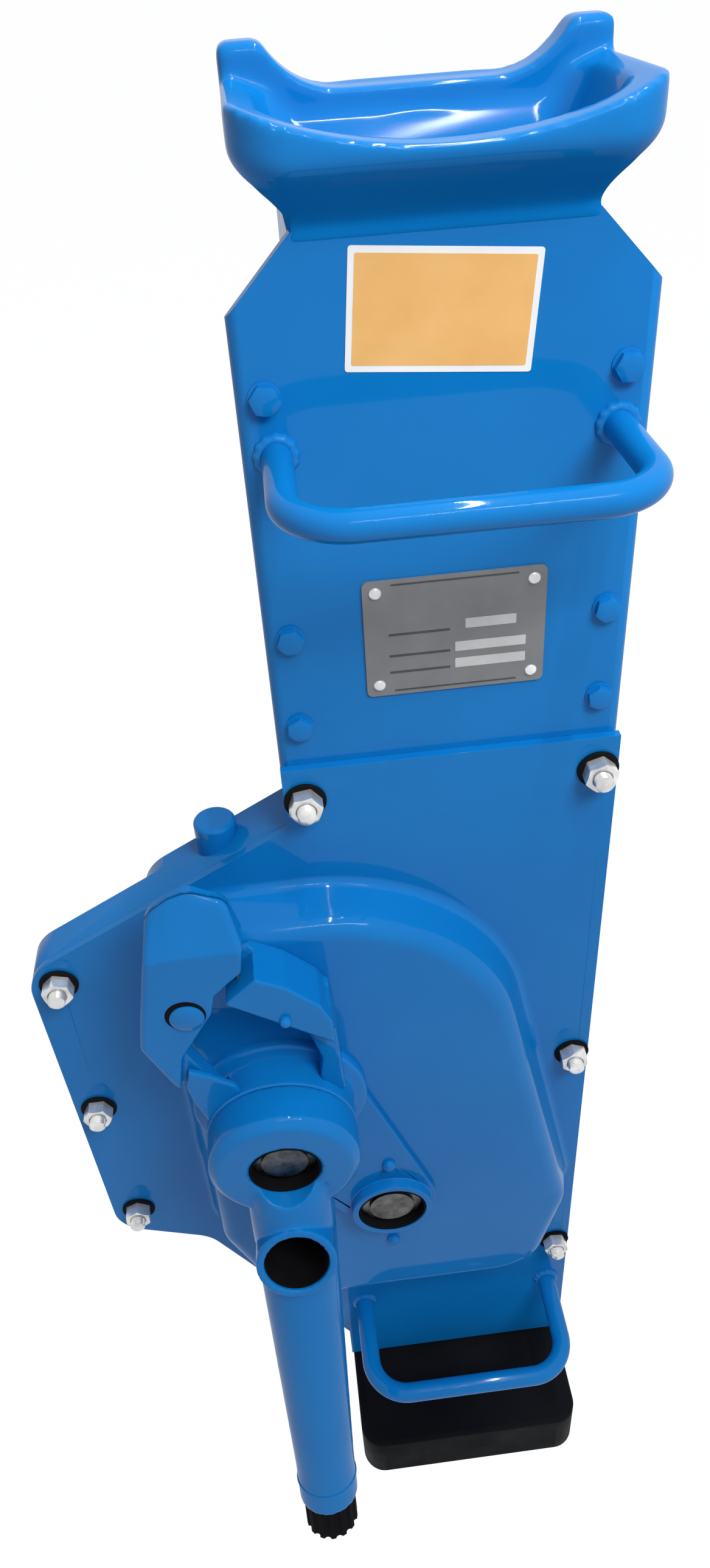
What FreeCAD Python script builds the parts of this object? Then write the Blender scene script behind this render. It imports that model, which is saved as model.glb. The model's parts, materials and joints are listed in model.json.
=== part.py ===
import FreeCAD, Part
import math
import os
import Sketcher

# Rack and pinion jack, in millimetres, +Z up.
# The origin is the middle of the rack foot's underside. The crank side faces -Y.
# "out" is a distance in front of the middle plane, so a point at "out" has y = -out.

Vector = FreeCAD.Vector
doc = FreeCAD.newDocument("RackJack")
sheet = doc.addObject("Spreadsheet::Sheet", "Sizes")

SIZES = {
    # Housing: a box of sheet steel with chamfered shoulders under the head
    "body_width": 144,
    "body_depth": 105,
    "wall": 5,
    "ground_gap": 5,
    "seam_rise": 181,
    "shoulder_drop": 24,
    "shoulder_fall": 36,
    "neck_width": 98,
    "shell_edge": 4.5,
    # Head: a saddle casting with a dished tray in front of a horned wall
    "head_width": 131,
    "head_front": 71,
    "head_rear": 56,
    "head_rounding": 18,
    "flare_rise": 14,
    "ledge_rise": 6,
    "brim_rise": 22,
    "lip_radius": 160,
    "lip_rounding": 6,
    "dish_rim": 8,
    "dish_depth": 27,
    "dish_draft": 25,
    "horn_wall": 16,
    "horn_rise": 10,
    "horn_dip": 15,
    "horn_width": 13.5,
    "horn_lean": 2,
    "horn_rounding": 3,
    "notch_rounding": 30,
    "spigot_length": 8,
    # Gear case: the wing of the housing on the crank side
    "case_side": 110,
    "case_depth": 26,
    "case_flange": 18,
    "case_box_side": 52,
    "case_slope_drop": 31,
    "case_top_rise": 79,
    "case_low_drop": 135,
    "case_lean": 4,
    "case_heel_side": 56,
    "case_heel_drop": 58,
    "case_toe_rise": 30,
    "case_corner": 22,
    # Front cover with its pressed dome
    "cover_thick": 4,
    "dome_height": 24,
    "dome_taper": 15,
    "dome_side": 49,
    "dome_rise": 118,
    "dome_shoulder_inset": 57,
    "dome_right_inset": 6,
    "dome_hip_drop": 29,
    "dome_drop": 104,
    "dome_round": 102,
    "dome_corner": 36,
    "dome_edge": 9,
    "dome_foot": 5,
    # Cover studs, nuts and washers
    "stud_diameter": 8,
    "stud_proud": 13,
    "stud_hold": 12,
    "nut_flats": 13,
    "nut_height": 6.8,
    "washer_diameter": 17,
    "washer_thick": 1.6,
    "stud_inset": 9,
    "stud_top_drop": 16,
    "stud_middle_drop": 24,
    "stud_low_drop": 110,
    "case_stud_inset": 14,
    "case_stud_drop": 7,
    "case_stud_rise": 17,
    # Painted hexagon bolts of the upper housing
    "bolt_diameter": 6,
    "bolt_flats": 11,
    "bolt_head": 4.5,
    "bolt_inset": 10,
    "bolt_upper_drop": 50,
    "bolt_middle_rise": 60,
    "bolt_lower_rise": 19,
    # Carrying handles
    "handle_rod": 11,
    "handle_inset": 12,
    "handle_reach": 61,
    "handle_bend": 22,
    "upper_handle_drop": 70,
    "lower_handle_rise": 68,
    # Name plate
    "plate_width": 71,
    "plate_height": 51,
    "plate_thick": 1,
    "plate_aside": 2,
    "plate_rise": 56,
    "plate_rivet": 5,
    "plate_rivet_inset": 5,
    # Rack, foot and guides
    "rack_module": 8,
    "rack_depth": 45,
    "rack_back": 33,
    "spare_gaps": 5,
    "foot_width": 142,
    "foot_front": 116,
    "foot_rear": 54,
    "foot_height": 40,
    "foot_corner": 14,
    "foot_edge": 3,
    "foot_socket": 22,
    "foot_pin_diameter": 12,
    "stop_overhang": 6,
    "stop_thick": 6,
    "stop_bolt_diameter": 12,
    "stop_bolt_flats": 19,
    "stop_bolt_head": 5,
    "stop_bolt_length": 30,
    "stop_gap": 1,
    "lift_height": 400,
    "guide_height": 20,
    "guide_gap": 4.2,
    "slide_clearance": 0.3,
    # Gear train
    "crank_reach": 91,
    "shaft_gap": 8,
    "pinion_reach": 40,
    "pinion_height": 269,
    "rack_pinion_teeth": 7,
    "rack_shift_factor": 0.55,
    "stub_tip_factor": 0.8,
    "stub_foot_factor": 1.05,
    "rack_pinion_face": 43,
    "shield_wall": 2.5,
    "shaft_collar": 34,
    "drive_module": 4,
    "drive_gear_teeth": 45,
    "drive_pinion_teeth": 12,
    "drive_shift_factor": 0.3,
    "drive_face": 13,
    "first_module": 2.5,
    "first_gear_teeth": 42,
    "first_pinion_teeth": 9,
    "first_shift_factor": 0.45,
    "first_face": 15,
    "backlash": 0.5,
    "tooth_tip_factor": 0.9,
    "tooth_foot_factor": 1.25,
    "gear_gap": 2,
    "shaft_diameter": 24,
    "crank_shaft_diameter": 22,
    "bush_wall": 4,
    "shaft_fit": 0.05,
    "circlip_width": 4,
    "circlip_thick": 2,
    # Bearing plate in front of the rack pinion
    "bearing_radius": 25,
    "bearing_ledge": 3,
    "bearing_thick": 4,
    "bearing_height": 10,
    "bearing_rim": 22,
    "bearing_recess": 37,
    "bearing_recess_depth": 7,
    "bearing_rivet": 5,
    "bearing_rivet_head": 9,
    "bearing_rivet_height": 3,
    "bearing_rivet_rise": 35,
    "bearing_rivet_drop": 44,
    # Ratchet, pawl and guard
    "sleeve_gap": 2,
    "sleeve_wall": 4,
    "sleeve_length": 21,
    "ratchet_radius": 30,
    "ratchet_teeth": 12,
    "ratchet_tooth": 5,
    "ratchet_thick": 9,
    "brake_disc": 1.5,
    "pawl_pivot_side": 33,
    "pawl_pivot_rise": 88,
    "pawl_pin_diameter": 12,
    "pawl_pin_head": 18,
    "pawl_reach": 66,
    "pawl_thick": 15,
    "pawl_gap": 0.5,
    "pawl_rounding": 8,
    "pawl_edge": 3,
    "guard_side": 29.5,
    "guard_rise": 92,
    "guard_low_rise": 64,
    "guard_gap": 8,
    "guard_proud": 3,
    "guard_rounding": 8,
    "guard_edge": 6,
    "spring_diameter": 8,
    "spring_wire": 1.2,
    "spring_pitch": 2.4,
    "spring_seat": 5,
    # Crank
    "eye_thick": 22,
    "eye_chamfer": 4,
    "eye_recess": 34,
    "eye_recess_depth": 9,
    "arm_lean": 19,
    "arm_setback": 8.8,
    "arm_start": 24,
    "arm_length": 229,
    "arm_root_diameter": 43,
    "arm_end_diameter": 30,
    "arm_hole": 31,
    "arm_hole_distance": 56,
    "arm_hole_rim": 4,
    "collar_diameter": 31.5,
    "collar_length": 26,
    "grip_diameter": 28,
    "grip_length": 24,
    "grip_bar_diameter": 22,
    "grip_stored": 130,
    "grip_clearance": 0.3,
    "grip_flute": 2,
    "grip_flutes": 14,
    # Plug on the sloping top of the case
    "plug_diameter": 19,
    "plug_height": 12,
    "plug_side": 13.5,
    "plug_rounding": 2,
}

for row, (alias, amount) in enumerate(SIZES.items(), start=1):
    sheet.set(f"A{row}", alias.replace("_", " "))
    sheet.set(f"B{row}", str(amount))
    sheet.setAlias(f"B{row}", alias)
doc.recompute()


class Size:
    """A number together with the sheet expression that gives it."""

    def __init__(self, value, text):
        self.value = float(value)
        self.text = text

    def __add__(self, other):
        return Size(self.value + number(other), f"({self.text} + {wording(other)})")

    def __radd__(self, other):
        return Size(number(other) + self.value, f"({wording(other)} + {self.text})")

    def __sub__(self, other):
        return Size(self.value - number(other), f"({self.text} - {wording(other)})")

    def __rsub__(self, other):
        return Size(number(other) - self.value, f"({wording(other)} - {self.text})")

    def __mul__(self, other):
        return Size(self.value * number(other), f"({self.text} * {wording(other)})")

    __rmul__ = __mul__

    def __truediv__(self, other):
        return Size(self.value / number(other), f"({self.text} / {wording(other)})")

    def __neg__(self):
        return Size(-self.value, f"(-{self.text})")


def number(amount):
    return amount.value if isinstance(amount, Size) else float(amount)


def wording(amount):
    return amount.text if isinstance(amount, Size) else repr(float(amount))


def root(amount):
    return Size(math.sqrt(amount.value), f"sqrt({amount.text})")


def whole(amount):
    return Size(math.floor(amount.value), f"floor({amount.text})")


class SheetSizes:
    """Each alias of the sheet as a Size."""

    def __getattr__(self, alias):
        return Size(sheet.get(alias), f"Sizes.{alias}")


size = SheetSizes()
nodes = []


def keep(piece, label):
    piece.Label = label
    nodes.append(piece)
    return piece


def bind(piece, path, amount):
    piece.setExpression(path, wording(amount))


# Part primitives and booleans

FACING = FreeCAD.Rotation(Vector(1, 0, 0), 90)


def place(piece, x, out, z, rotation=FACING):
    piece.Placement = FreeCAD.Placement(Vector(number(x), -number(out), number(z)), rotation)
    bind(piece, "Placement.Base.x", x)
    bind(piece, "Placement.Base.y", -1 * out)
    bind(piece, "Placement.Base.z", z)


def cylinder(name, diameter, length, x, out, z, rotation=FACING):
    """A cylinder that stands on the plane at out and points to the front."""
    piece = doc.addObject("Part::Cylinder", name)
    bind(piece, "Radius", diameter / 2)
    bind(piece, "Height", length)
    place(piece, x, out, z, rotation)
    return piece


def prism(name, flats, length, x, out, z, rotation=FACING):
    piece = doc.addObject("Part::Prism", name)
    piece.Polygon = 6
    bind(piece, "Circumradius", flats / math.sqrt(3))
    bind(piece, "Height", length)
    place(piece, x, out, z, rotation)
    return piece


def cut(name, base, tool):
    piece = doc.addObject("Part::Cut", name)
    piece.Base = base
    piece.Tool = tool
    return piece


def fuse(name, pieces):
    piece = doc.addObject("Part::MultiFuse", name)
    piece.Shapes = pieces
    piece.Refine = True
    return piece


def group(name, pieces):
    piece = doc.addObject("Part::Compound", name)
    piece.Links = pieces
    return piece


def ring(name, outer, inner, length, x, out, z):
    body = cylinder(f"{name}_outer", outer, length, x, out, z)
    bore = cylinder(f"{name}_bore", inner, length, x, out, z)
    return cut(name, body, bore)


# Part Design bodies and sketches

# In a sketch constraint spot 1 of a line or an arc is its start, spot 2 its end and spot 3 its centre.

def new_body(label):
    return keep(doc.addObject("PartDesign::Body", label), label)


def new_sketch(body, name, role, offset):
    sketch = body.newObject("Sketcher::SketchObject", f"{body.Name}_{name}")
    origin_plane = next(part for part in body.Origin.OriginFeatures if part.Role == role)
    sketch.AttachmentSupport = [(origin_plane, "")]
    sketch.MapMode = "FlatFace"
    sketch.AttachmentOffset = FreeCAD.Placement(Vector(0, 0, number(offset)), FreeCAD.Rotation())
    bind(sketch, "AttachmentOffset.Base.z", offset)
    return sketch


def front_sketch(body, name, out):
    return new_sketch(body, name, "XZ_Plane", out)


def top_sketch(body, name, z):
    return new_sketch(body, name, "XY_Plane", z)


def side_sketch(body, name, x):
    return new_sketch(body, name, "YZ_Plane", x)


def hold(sketch, kind, references, amount):
    """Add a dimension to a sketch and tie it to the sheet."""
    index = sketch.addConstraint(Sketcher.Constraint(kind, *references, number(amount)))
    if isinstance(amount, Size):
        sketch.setExpression(f"Constraints[{index}]", amount.text)


def pin_point(sketch, geometry, place_on, x, y):
    hold(sketch, "DistanceX", (-1, 1, geometry, place_on), x)
    hold(sketch, "DistanceY", (-1, 1, geometry, place_on), y)


def circle(sketch, x, y, radius):
    round_line = Part.Circle(Vector(number(x), number(y), 0), Vector(0, 0, 1), number(radius))
    index = sketch.addGeometry(round_line, False)
    pin_point(sketch, index, 3, x, y)
    hold(sketch, "Radius", (index,), radius)


def left_arc(start, middle, end):
    """An arc through three spots, always drawn turning left, and whether that kept its direction."""
    turns_left = (middle - start).cross(end - middle).z > 0
    return (Part.Arc(start, middle, end) if turns_left else Part.Arc(end, middle, start)), turns_left


def outline(sketch, corners, closed=True):
    """Straight runs through corners (x, y) or (x, y, radius), with a tangent arc at each radius."""
    spots = [Vector(number(corner[0]), number(corner[1]), 0) for corner in corners]
    count = len(corners)
    radii = [corner[2] if len(corner) > 2 else None for corner in corners]
    marks = []
    for corner, spot in zip(corners, spots):
        mark = sketch.addGeometry(Part.Point(spot), True)
        pin_point(sketch, mark, 1, corner[0], corner[1])
        marks.append(mark)

    def trim(index, other):
        """Where the run from a corner towards another one starts."""
        if radii[index] is None:
            return spots[index]
        along = (spots[other] - spots[index]).normalize()
        before = (spots[index - 1] - spots[index]).normalize()
        after = (spots[(index + 1) % count] - spots[index]).normalize()
        half_angle = before.getAngle(after) / 2
        return spots[index] + along * (number(radii[index]) / math.tan(half_angle))

    runs = []
    for index in range(count if closed else count - 1):
        following = (index + 1) % count
        run = Part.LineSegment(trim(index, following), trim(following, index))
        runs.append(sketch.addGeometry(run, False))
        for end, corner in ((1, index), (2, following)):
            if radii[corner] is None:
                sketch.addConstraint(Sketcher.Constraint("Coincident", runs[-1], end, marks[corner], 1))
            else:
                sketch.addConstraint(Sketcher.Constraint("PointOnObject", marks[corner], 1, runs[-1]))

    for index in range(count):
        if radii[index] is None:
            continue
        start = trim(index, index - 1)
        end = trim(index, (index + 1) % count)
        middle_way = ((start - spots[index]) + (end - spots[index])).normalize()
        reach = start.distanceToPoint(spots[index])
        radius = number(radii[index])
        middle = spots[index] + middle_way * (math.hypot(reach, radius) - radius)
        arc, turns_left = left_arc(start, middle, end)
        bend = sketch.addGeometry(arc, False)
        first_end, second_end = (1, 2) if turns_left else (2, 1)
        sketch.addConstraint(Sketcher.Constraint("Tangent", runs[index - 1], 2, bend, first_end))
        sketch.addConstraint(Sketcher.Constraint("Tangent", runs[index], 1, bend, second_end))
        hold(sketch, "Radius", (bend,), radii[index])


def hull(sketch, x, y, radius, other_x, other_y, other_radius):
    """The outline of a band stretched round two circles."""
    centre = Vector(number(x), number(y), 0)
    other = Vector(number(other_x), number(other_y), 0)
    heading = math.atan2(other.y - centre.y, other.x - centre.x)
    fan = math.acos((number(radius) - number(other_radius)) / centre.distanceToPoint(other))

    def rim(middle, size_of, angle):
        return middle + Vector(math.cos(angle), math.sin(angle), 0) * number(size_of)

    left, right = heading + fan, heading - fan
    near_arc = sketch.addGeometry(Part.Arc(rim(centre, radius, left), rim(centre, radius, heading + math.pi),
                                           rim(centre, radius, right)), False)
    far_arc = sketch.addGeometry(Part.Arc(rim(other, other_radius, right), rim(other, other_radius, heading),
                                          rim(other, other_radius, left)), False)
    right_run = sketch.addGeometry(Part.LineSegment(rim(centre, radius, right),
                                                    rim(other, other_radius, right)), False)
    left_run = sketch.addGeometry(Part.LineSegment(rim(other, other_radius, left),
                                                   rim(centre, radius, left)), False)
    for arc, arc_end, run, run_end in ((near_arc, 2, right_run, 1), (far_arc, 1, right_run, 2),
                                       (far_arc, 2, left_run, 1), (near_arc, 1, left_run, 2)):
        sketch.addConstraint(Sketcher.Constraint("Tangent", arc, arc_end, run, run_end))
    pin_point(sketch, near_arc, 3, x, y)
    pin_point(sketch, far_arc, 3, other_x, other_y)
    hold(sketch, "Radius", (near_arc,), radius)
    hold(sketch, "Radius", (far_arc,), other_radius)


def pad(body, sketch, length, taper=None, backwards=False):
    feature = body.newObject("PartDesign::Pad", f"{sketch.Name}_pad")
    feature.Profile = sketch
    feature.Reversed = backwards
    bind(feature, "Length", length)
    if taper is not None:
        bind(feature, "TaperAngle", taper)
    sketch.Visibility = False
    doc.recompute()
    return feature


def pocket(body, sketch, depth, taper=None, backwards=False):
    feature = body.newObject("PartDesign::Pocket", f"{sketch.Name}_pocket")
    feature.Profile = sketch
    feature.Reversed = backwards
    bind(feature, "Length", depth)
    if taper is not None:
        bind(feature, "TaperAngle", taper)
    doc.recompute()
    return feature


def round_edges(body, radius, chosen):
    """Fillet the edges of a body's last feature that a test picks."""
    base = body.Tip
    names = [f"Edge{index}" for index, edge in enumerate(base.Shape.Edges, start=1) if chosen(edge)]
    fillet = body.newObject("PartDesign::Fillet", f"{body.Name}_fillet{len(body.Group)}")
    fillet.Base = (base, names)
    bind(fillet, "Radius", radius)
    doc.recompute()
    return fillet


def middle_of(edge):
    return edge.valueAt((edge.FirstParameter + edge.LastParameter) / 2)


def lies_on(sketch, edge):
    spots = (edge.valueAt(edge.FirstParameter), middle_of(edge), edge.valueAt(edge.LastParameter))
    return all(sketch.Shape.distToShape(Part.Vertex(spot))[0] < 0.01 for spot in spots)


def near(amount, other, slack=0.01):
    return abs(amount - number(other)) < slack


# Values that several pieces share

no_inset = size.wall - size.wall
half_width = size.body_width / 2
half_neck = size.neck_width / 2
front_out = size.body_depth / 2
inside_out = front_out - size.wall
cover_out = front_out + size.cover_thick
dome_out = cover_out + size.dome_height
sleeve_out = dome_out + size.sleeve_length
eye_out = sleeve_out + size.slide_clearance
case_back_out = front_out - size.case_depth

# The crank shaft passes the drive gear's teeth with the shaft gap between them.
crank_x = -size.crank_reach
pinion_x = -size.pinion_reach
pinion_z = size.pinion_height
drive_tip = size.drive_module * (size.drive_gear_teeth / 2 + size.tooth_tip_factor - size.drive_shift_factor)
span = drive_tip + size.crank_shaft_diameter / 2 + size.shaft_gap
span_x = pinion_x - crank_x
crank_rise = root(span * span - span_x * span_x)
crank_z = pinion_z + crank_rise
span_z = -crank_rise

# The idler shaft sits where both gear pairs have their centre distance.
first_centres = size.first_module * (size.first_gear_teeth + size.first_pinion_teeth) / 2
drive_centres = size.drive_module * (size.drive_gear_teeth + size.drive_pinion_teeth) / 2
along = (span * span + first_centres * first_centres - drive_centres * drive_centres) / (2 * span)
aside = root(first_centres * first_centres - along * along)
idler_x = crank_x + (span_x * along - span_z * aside) / span
idler_z = crank_z + (span_z * along + span_x * aside) / span

rack_pinion_radius = size.rack_module * size.rack_pinion_teeth / 2
rack_line = pinion_x + rack_pinion_radius + size.rack_module * size.rack_shift_factor
rack_tip = rack_line - size.rack_module * size.stub_tip_factor
rack_left = rack_tip - size.slide_clearance
half_rack = size.rack_depth / 2

# The rack pinion's teeth stand a little way through the left wall, under a shield.
half_rack_pinion = size.rack_pinion_face / 2
pinion_tip = rack_pinion_radius + size.rack_module * (size.rack_shift_factor + size.stub_tip_factor)
wall_reach = half_width - size.wall - size.pinion_reach
half_pinion_window = root(pinion_tip * pinion_tip - wall_reach * wall_reach) + size.gear_gap

# Heights: the lift decides how far the rack's top and the neck lie over the rack pinion.
body_bottom = size.foot_height + size.ground_gap
upper_guide_bottom = pinion_z + pinion_tip + size.guide_gap
rack_top = upper_guide_bottom + size.guide_height + size.lift_height
stop_top = rack_top + size.stop_thick
neck_z = stop_top + size.stop_bolt_head + size.stop_gap + size.spigot_length
shoulder_z = neck_z - size.shoulder_drop
tower_z = neck_z - size.shoulder_fall
roof_z = shoulder_z - size.shoulder_fall
flare_z = neck_z + size.flare_rise
ledge_z = flare_z + size.ledge_rise
brim_z = flare_z + size.brim_rise
horn_z = brim_z + size.horn_rise
seam_z = crank_z + size.seam_rise

case_reach = size.crank_reach + size.case_side
case_heel_reach = size.crank_reach + size.case_heel_side
case_slope_top = seam_z - size.case_slope_drop
case_top = crank_z + size.case_top_rise
case_low = crank_z - size.case_low_drop
case_heel = pinion_z - size.case_heel_drop
case_toe = body_bottom + size.case_toe_rise
case_slope = (case_slope_top - case_top) / (case_reach - half_width)
case_heel_slope = (case_heel - case_toe) / (case_heel_reach - half_width)
case_box_reach = size.crank_reach + size.case_box_side

sleeve_radius = size.ratchet_radius + size.sleeve_gap + size.sleeve_wall
bearing_shoulder = sleeve_radius + size.bearing_ledge

bush_diameter = size.shaft_diameter + 2 * size.bush_wall
crank_bush_diameter = size.crank_shaft_diameter + 2 * size.bush_wall

drive_out = inside_out - size.gear_gap - size.drive_face
first_out = front_out + size.gear_gap

upper_rivet_z = pinion_z + size.bearing_rivet_rise
lower_rivet_z = pinion_z - size.bearing_rivet_drop

right_stud_x = half_width - size.stud_inset
case_stud_x = size.case_stud_inset - case_reach
stud_top_z = seam_z - size.stud_top_drop
case_stud_top = case_top - size.case_stud_drop
case_stud_low = case_low + size.case_stud_rise
SHELL_STUDS = 4
STUDS = [
    (-right_stud_x, stud_top_z),
    (right_stud_x, stud_top_z),
    (right_stud_x, crank_z - size.stud_middle_drop),
    (right_stud_x, pinion_z - size.stud_low_drop),
    (case_stud_x, case_stud_top),
    (case_stud_x, (case_stud_top + case_stud_low) / 2),
    (case_stud_x + size.case_lean, case_stud_low),
]

bolt_x = half_width - size.bolt_inset
bolt_heights = (neck_z - size.bolt_upper_drop, seam_z + size.bolt_middle_rise, seam_z + size.bolt_lower_rise)
BOLTS = [(side * bolt_x, height) for height in bolt_heights for side in (-1, 1)]

# Housing shell: behind the front wall the shoulders lie lower, beside a narrow tower

shell = new_body("housing_shell")
sketch = front_sketch(shell, "outline", -1 * front_out)
outline(sketch, [
    (half_width, body_bottom),
    (half_width, roof_z),
    (half_neck, tower_z),
    (half_neck, neck_z),
    (-half_neck, neck_z),
    (-half_neck, tower_z),
    (-half_width, roof_z),
    (-half_width, body_bottom),
])
pad(shell, sketch, size.body_depth - size.wall)
sketch = front_sketch(shell, "front_wall", inside_out)
outline(sketch, [
    (half_width, body_bottom),
    (half_width, shoulder_z),
    (half_neck, neck_z),
    (-half_neck, neck_z),
    (-half_width, shoulder_z),
    (-half_width, body_bottom),
])
pad(shell, sketch, size.wall)
round_edges(shell, size.shell_edge, lambda edge: near(abs(middle_of(edge).x), half_width)
            and near(abs(middle_of(edge).y), front_out))
sketch = front_sketch(shell, "inside", inside_out)
outline(sketch, [
    (half_width - size.wall, body_bottom - size.wall),
    (half_width - size.wall, roof_z - size.wall / 2),
    (half_neck - size.wall, tower_z - size.wall / 2),
    (half_neck - size.wall, neck_z),
    (size.wall - half_neck, neck_z),
    (size.wall - half_neck, tower_z - size.wall / 2),
    (size.wall - half_width, roof_z - size.wall / 2),
    (size.wall - half_width, body_bottom - size.wall),
])
pocket(shell, sketch, size.body_depth - 2 * size.wall)
sketch = side_sketch(shell, "gear_window", size.wall - half_width)
window_low = pinion_z - drive_tip - size.gear_gap
window_high = pinion_z + drive_tip + size.gear_gap
outline(sketch, [
    (-drive_out - size.drive_face - size.gear_gap / 2, window_low),
    (size.gear_gap / 2 - drive_out, window_low),
    (size.gear_gap / 2 - drive_out, window_high),
    (-drive_out - size.drive_face - size.gear_gap / 2, window_high),
])
pocket(shell, sketch, size.wall)


def pinion_room(clearance, rounding):
    """An outline on the left wall round the rack pinion's teeth."""
    reach = half_rack_pinion + clearance
    return [
        (side * reach, pinion_z + rise * (half_pinion_window + clearance), rounding)
        for side, rise in ((-1, -1), (1, -1), (1, 1), (-1, 1))
    ]


sketch = side_sketch(shell, "pinion_window", size.wall - half_width)
outline(sketch, pinion_room(size.gear_gap, size.gear_gap))
pocket(shell, sketch, size.wall)
sketch = front_sketch(shell, "shaft_holes", front_out)
circle(sketch, pinion_x, pinion_z, bush_diameter / 2 + size.shaft_fit)
circle(sketch, idler_x, idler_z, bush_diameter / 2 + size.shaft_fit)
pocket(shell, sketch, size.body_depth)
sketch = front_sketch(shell, "stud_holes", front_out)
for x, z in STUDS[:SHELL_STUDS]:
    circle(sketch, x, z, size.stud_diameter / 2 + size.shaft_fit)
for x, z in BOLTS:
    circle(sketch, x, z, size.bolt_diameter / 2 + size.shaft_fit)
pocket(shell, sketch, size.wall)

# Shield over the rack pinion on the left wall

shield = new_body("pinion_shield")
shield_depth = pinion_tip + size.pinion_reach - half_width + size.gear_gap
sketch = side_sketch(shield, "outline", -half_width)
outline(sketch, pinion_room(size.gear_gap + size.shield_wall, size.gear_gap + size.shield_wall))
pad(shield, sketch, shield_depth + size.shield_wall, backwards=True)
sketch = side_sketch(shield, "inside", -half_width)
outline(sketch, pinion_room(size.gear_gap, size.gear_gap))
pocket(shield, sketch, shield_depth)

# Head: a tray with a sagging front lip, and a horned wall behind the middle plane

head = new_body("jack_head")
half_head = size.head_width / 2


def plan(half_x, front, rear, front_radius, rear_radius):
    """A rectangle seen from above, with its own rounding in front and behind."""
    return [
        (half_x, rear, rear_radius),
        (-half_x, rear, rear_radius),
        (-half_x, -front, front_radius),
        (half_x, -front, front_radius),
    ]


sketch = top_sketch(head, "spigot", neck_z - size.spigot_length)
spigot_half_x = half_neck - 3 * size.wall
spigot_half_y = inside_out - size.shaft_fit
outline(sketch, plan(spigot_half_x, spigot_half_y, spigot_half_y, size.shell_edge, size.shell_edge))
pad(head, sketch, size.spigot_length)
neck_section = top_sketch(head, "neck", neck_z)
outline(neck_section, plan(half_neck, front_out, front_out, size.shell_edge, size.shell_edge))
flare_section = top_sketch(head, "flare", flare_z)
outline(flare_section, plan(half_head, size.head_front, size.head_rear,
                            size.head_rounding, size.head_rounding))
flare = head.newObject("PartDesign::AdditiveLoft", "jack_head_loft")
flare.Profile = neck_section
flare.Sections = [flare_section]
doc.recompute()
sketch = top_sketch(head, "ledge", flare_z)
outline(sketch, plan(half_head, size.head_front, size.head_rear, size.head_rounding, size.head_rounding))
pad(head, sketch, size.ledge_rise)
sketch = top_sketch(head, "brim", ledge_z)
outline(sketch, plan(half_head, size.head_front, size.horn_wall, size.head_rounding, size.horn_rounding))
pad(head, sketch, brim_z - ledge_z)
sketch = front_sketch(head, "lip", size.head_front)
lip_end = half_head + size.wall
outline(sketch, [
    (lip_end, horn_z),
    (-lip_end, horn_z),
    (-lip_end, brim_z + size.wall / 2),
    (no_inset, flare_z, size.lip_radius),
    (lip_end, brim_z + size.wall / 2),
])
pocket(head, sketch, size.head_front + size.horn_wall)
sketch = top_sketch(head, "dish", brim_z)
outline(sketch, plan(half_head - size.dish_rim, size.head_front - size.dish_rim, size.wall,
                     size.head_rounding, size.head_rounding))
pocket(head, sketch, size.dish_depth, taper=-1 * size.dish_draft)
sketch = top_sketch(head, "horns", ledge_z)
outline(sketch, plan(half_head, no_inset, size.horn_wall, size.horn_rounding, size.horn_rounding))
pad(head, sketch, horn_z - ledge_z)
horn_gap = half_head - size.horn_width
sketch = front_sketch(head, "notch", no_inset)
outline(sketch, [
    (-horn_gap - size.horn_lean, horn_z + size.wall),
    (size.horn_lean - horn_gap, horn_z - size.horn_dip, size.notch_rounding),
    (horn_gap - size.horn_lean, horn_z - size.horn_dip, size.notch_rounding),
    (horn_gap + size.horn_lean, horn_z + size.wall),
])
pocket(head, sketch, size.horn_wall)
round_edges(head, size.lip_rounding, lambda edge: near(middle_of(edge).z, flare_z)
            and edge.BoundBox.ZLength < 0.01)
round_edges(head, size.horn_rounding, lambda edge: near(middle_of(edge).z, horn_z)
            and edge.BoundBox.ZLength < 0.01)

# Gear case

case = new_body("gear_case")


def case_outline():
    """The wing's outline, from the top of its slope round to its toe."""
    return [
        (-half_width, case_slope_top),
        (-case_reach, case_top, size.case_corner),
        (size.case_lean - case_reach, case_low, size.case_corner),
        (-case_heel_reach, case_heel, size.case_corner),
        (-half_width, case_toe),
    ]


def case_box(inset):
    """The deeper box behind the flange, round the drive gear, or the same drawn in by a wall."""
    slope_z = case_slope_top - (case_box_reach - half_width) * case_slope
    heel_z = case_heel - (case_heel_reach - case_box_reach) * case_heel_slope
    return [
        (-half_width, case_slope_top - inset),
        (inset - case_box_reach, slope_z - inset / 2, size.case_corner - inset),
        (inset - case_box_reach, heel_z + 2 * inset, size.case_corner - inset),
        (-half_width, case_toe + 2 * inset),
    ]


sketch = front_sketch(case, "flange", front_out - size.case_flange)
outline(sketch, case_outline())
pad(case, sketch, size.case_flange)
sketch = front_sketch(case, "box", case_back_out)
outline(sketch, case_box(no_inset))
pad(case, sketch, size.case_depth - size.case_flange)
sketch = front_sketch(case, "inside", front_out)
outline(sketch, case_box(size.wall))
pocket(case, sketch, size.case_depth - size.wall)
sketch = front_sketch(case, "stud_holes", front_out)
for x, z in STUDS[SHELL_STUDS:]:
    circle(sketch, x, z, size.stud_diameter / 2 + size.shaft_fit)
pocket(case, sketch, size.stud_hold)
sketch = front_sketch(case, "crank_hole", front_out)
circle(sketch, crank_x, crank_z, crank_bush_diameter / 2 + size.shaft_fit)
pocket(case, sketch, size.case_depth)

# Front cover with its pressed dome

cover = new_body("front_cover")
sketch = front_sketch(cover, "outline", front_out)
outline(sketch, [
    (half_width, body_bottom),
    (half_width, seam_z),
    (-half_width, seam_z),
] + case_outline() + [
    (-half_width, body_bottom),
])
pad(cover, sketch, size.cover_thick)


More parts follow.
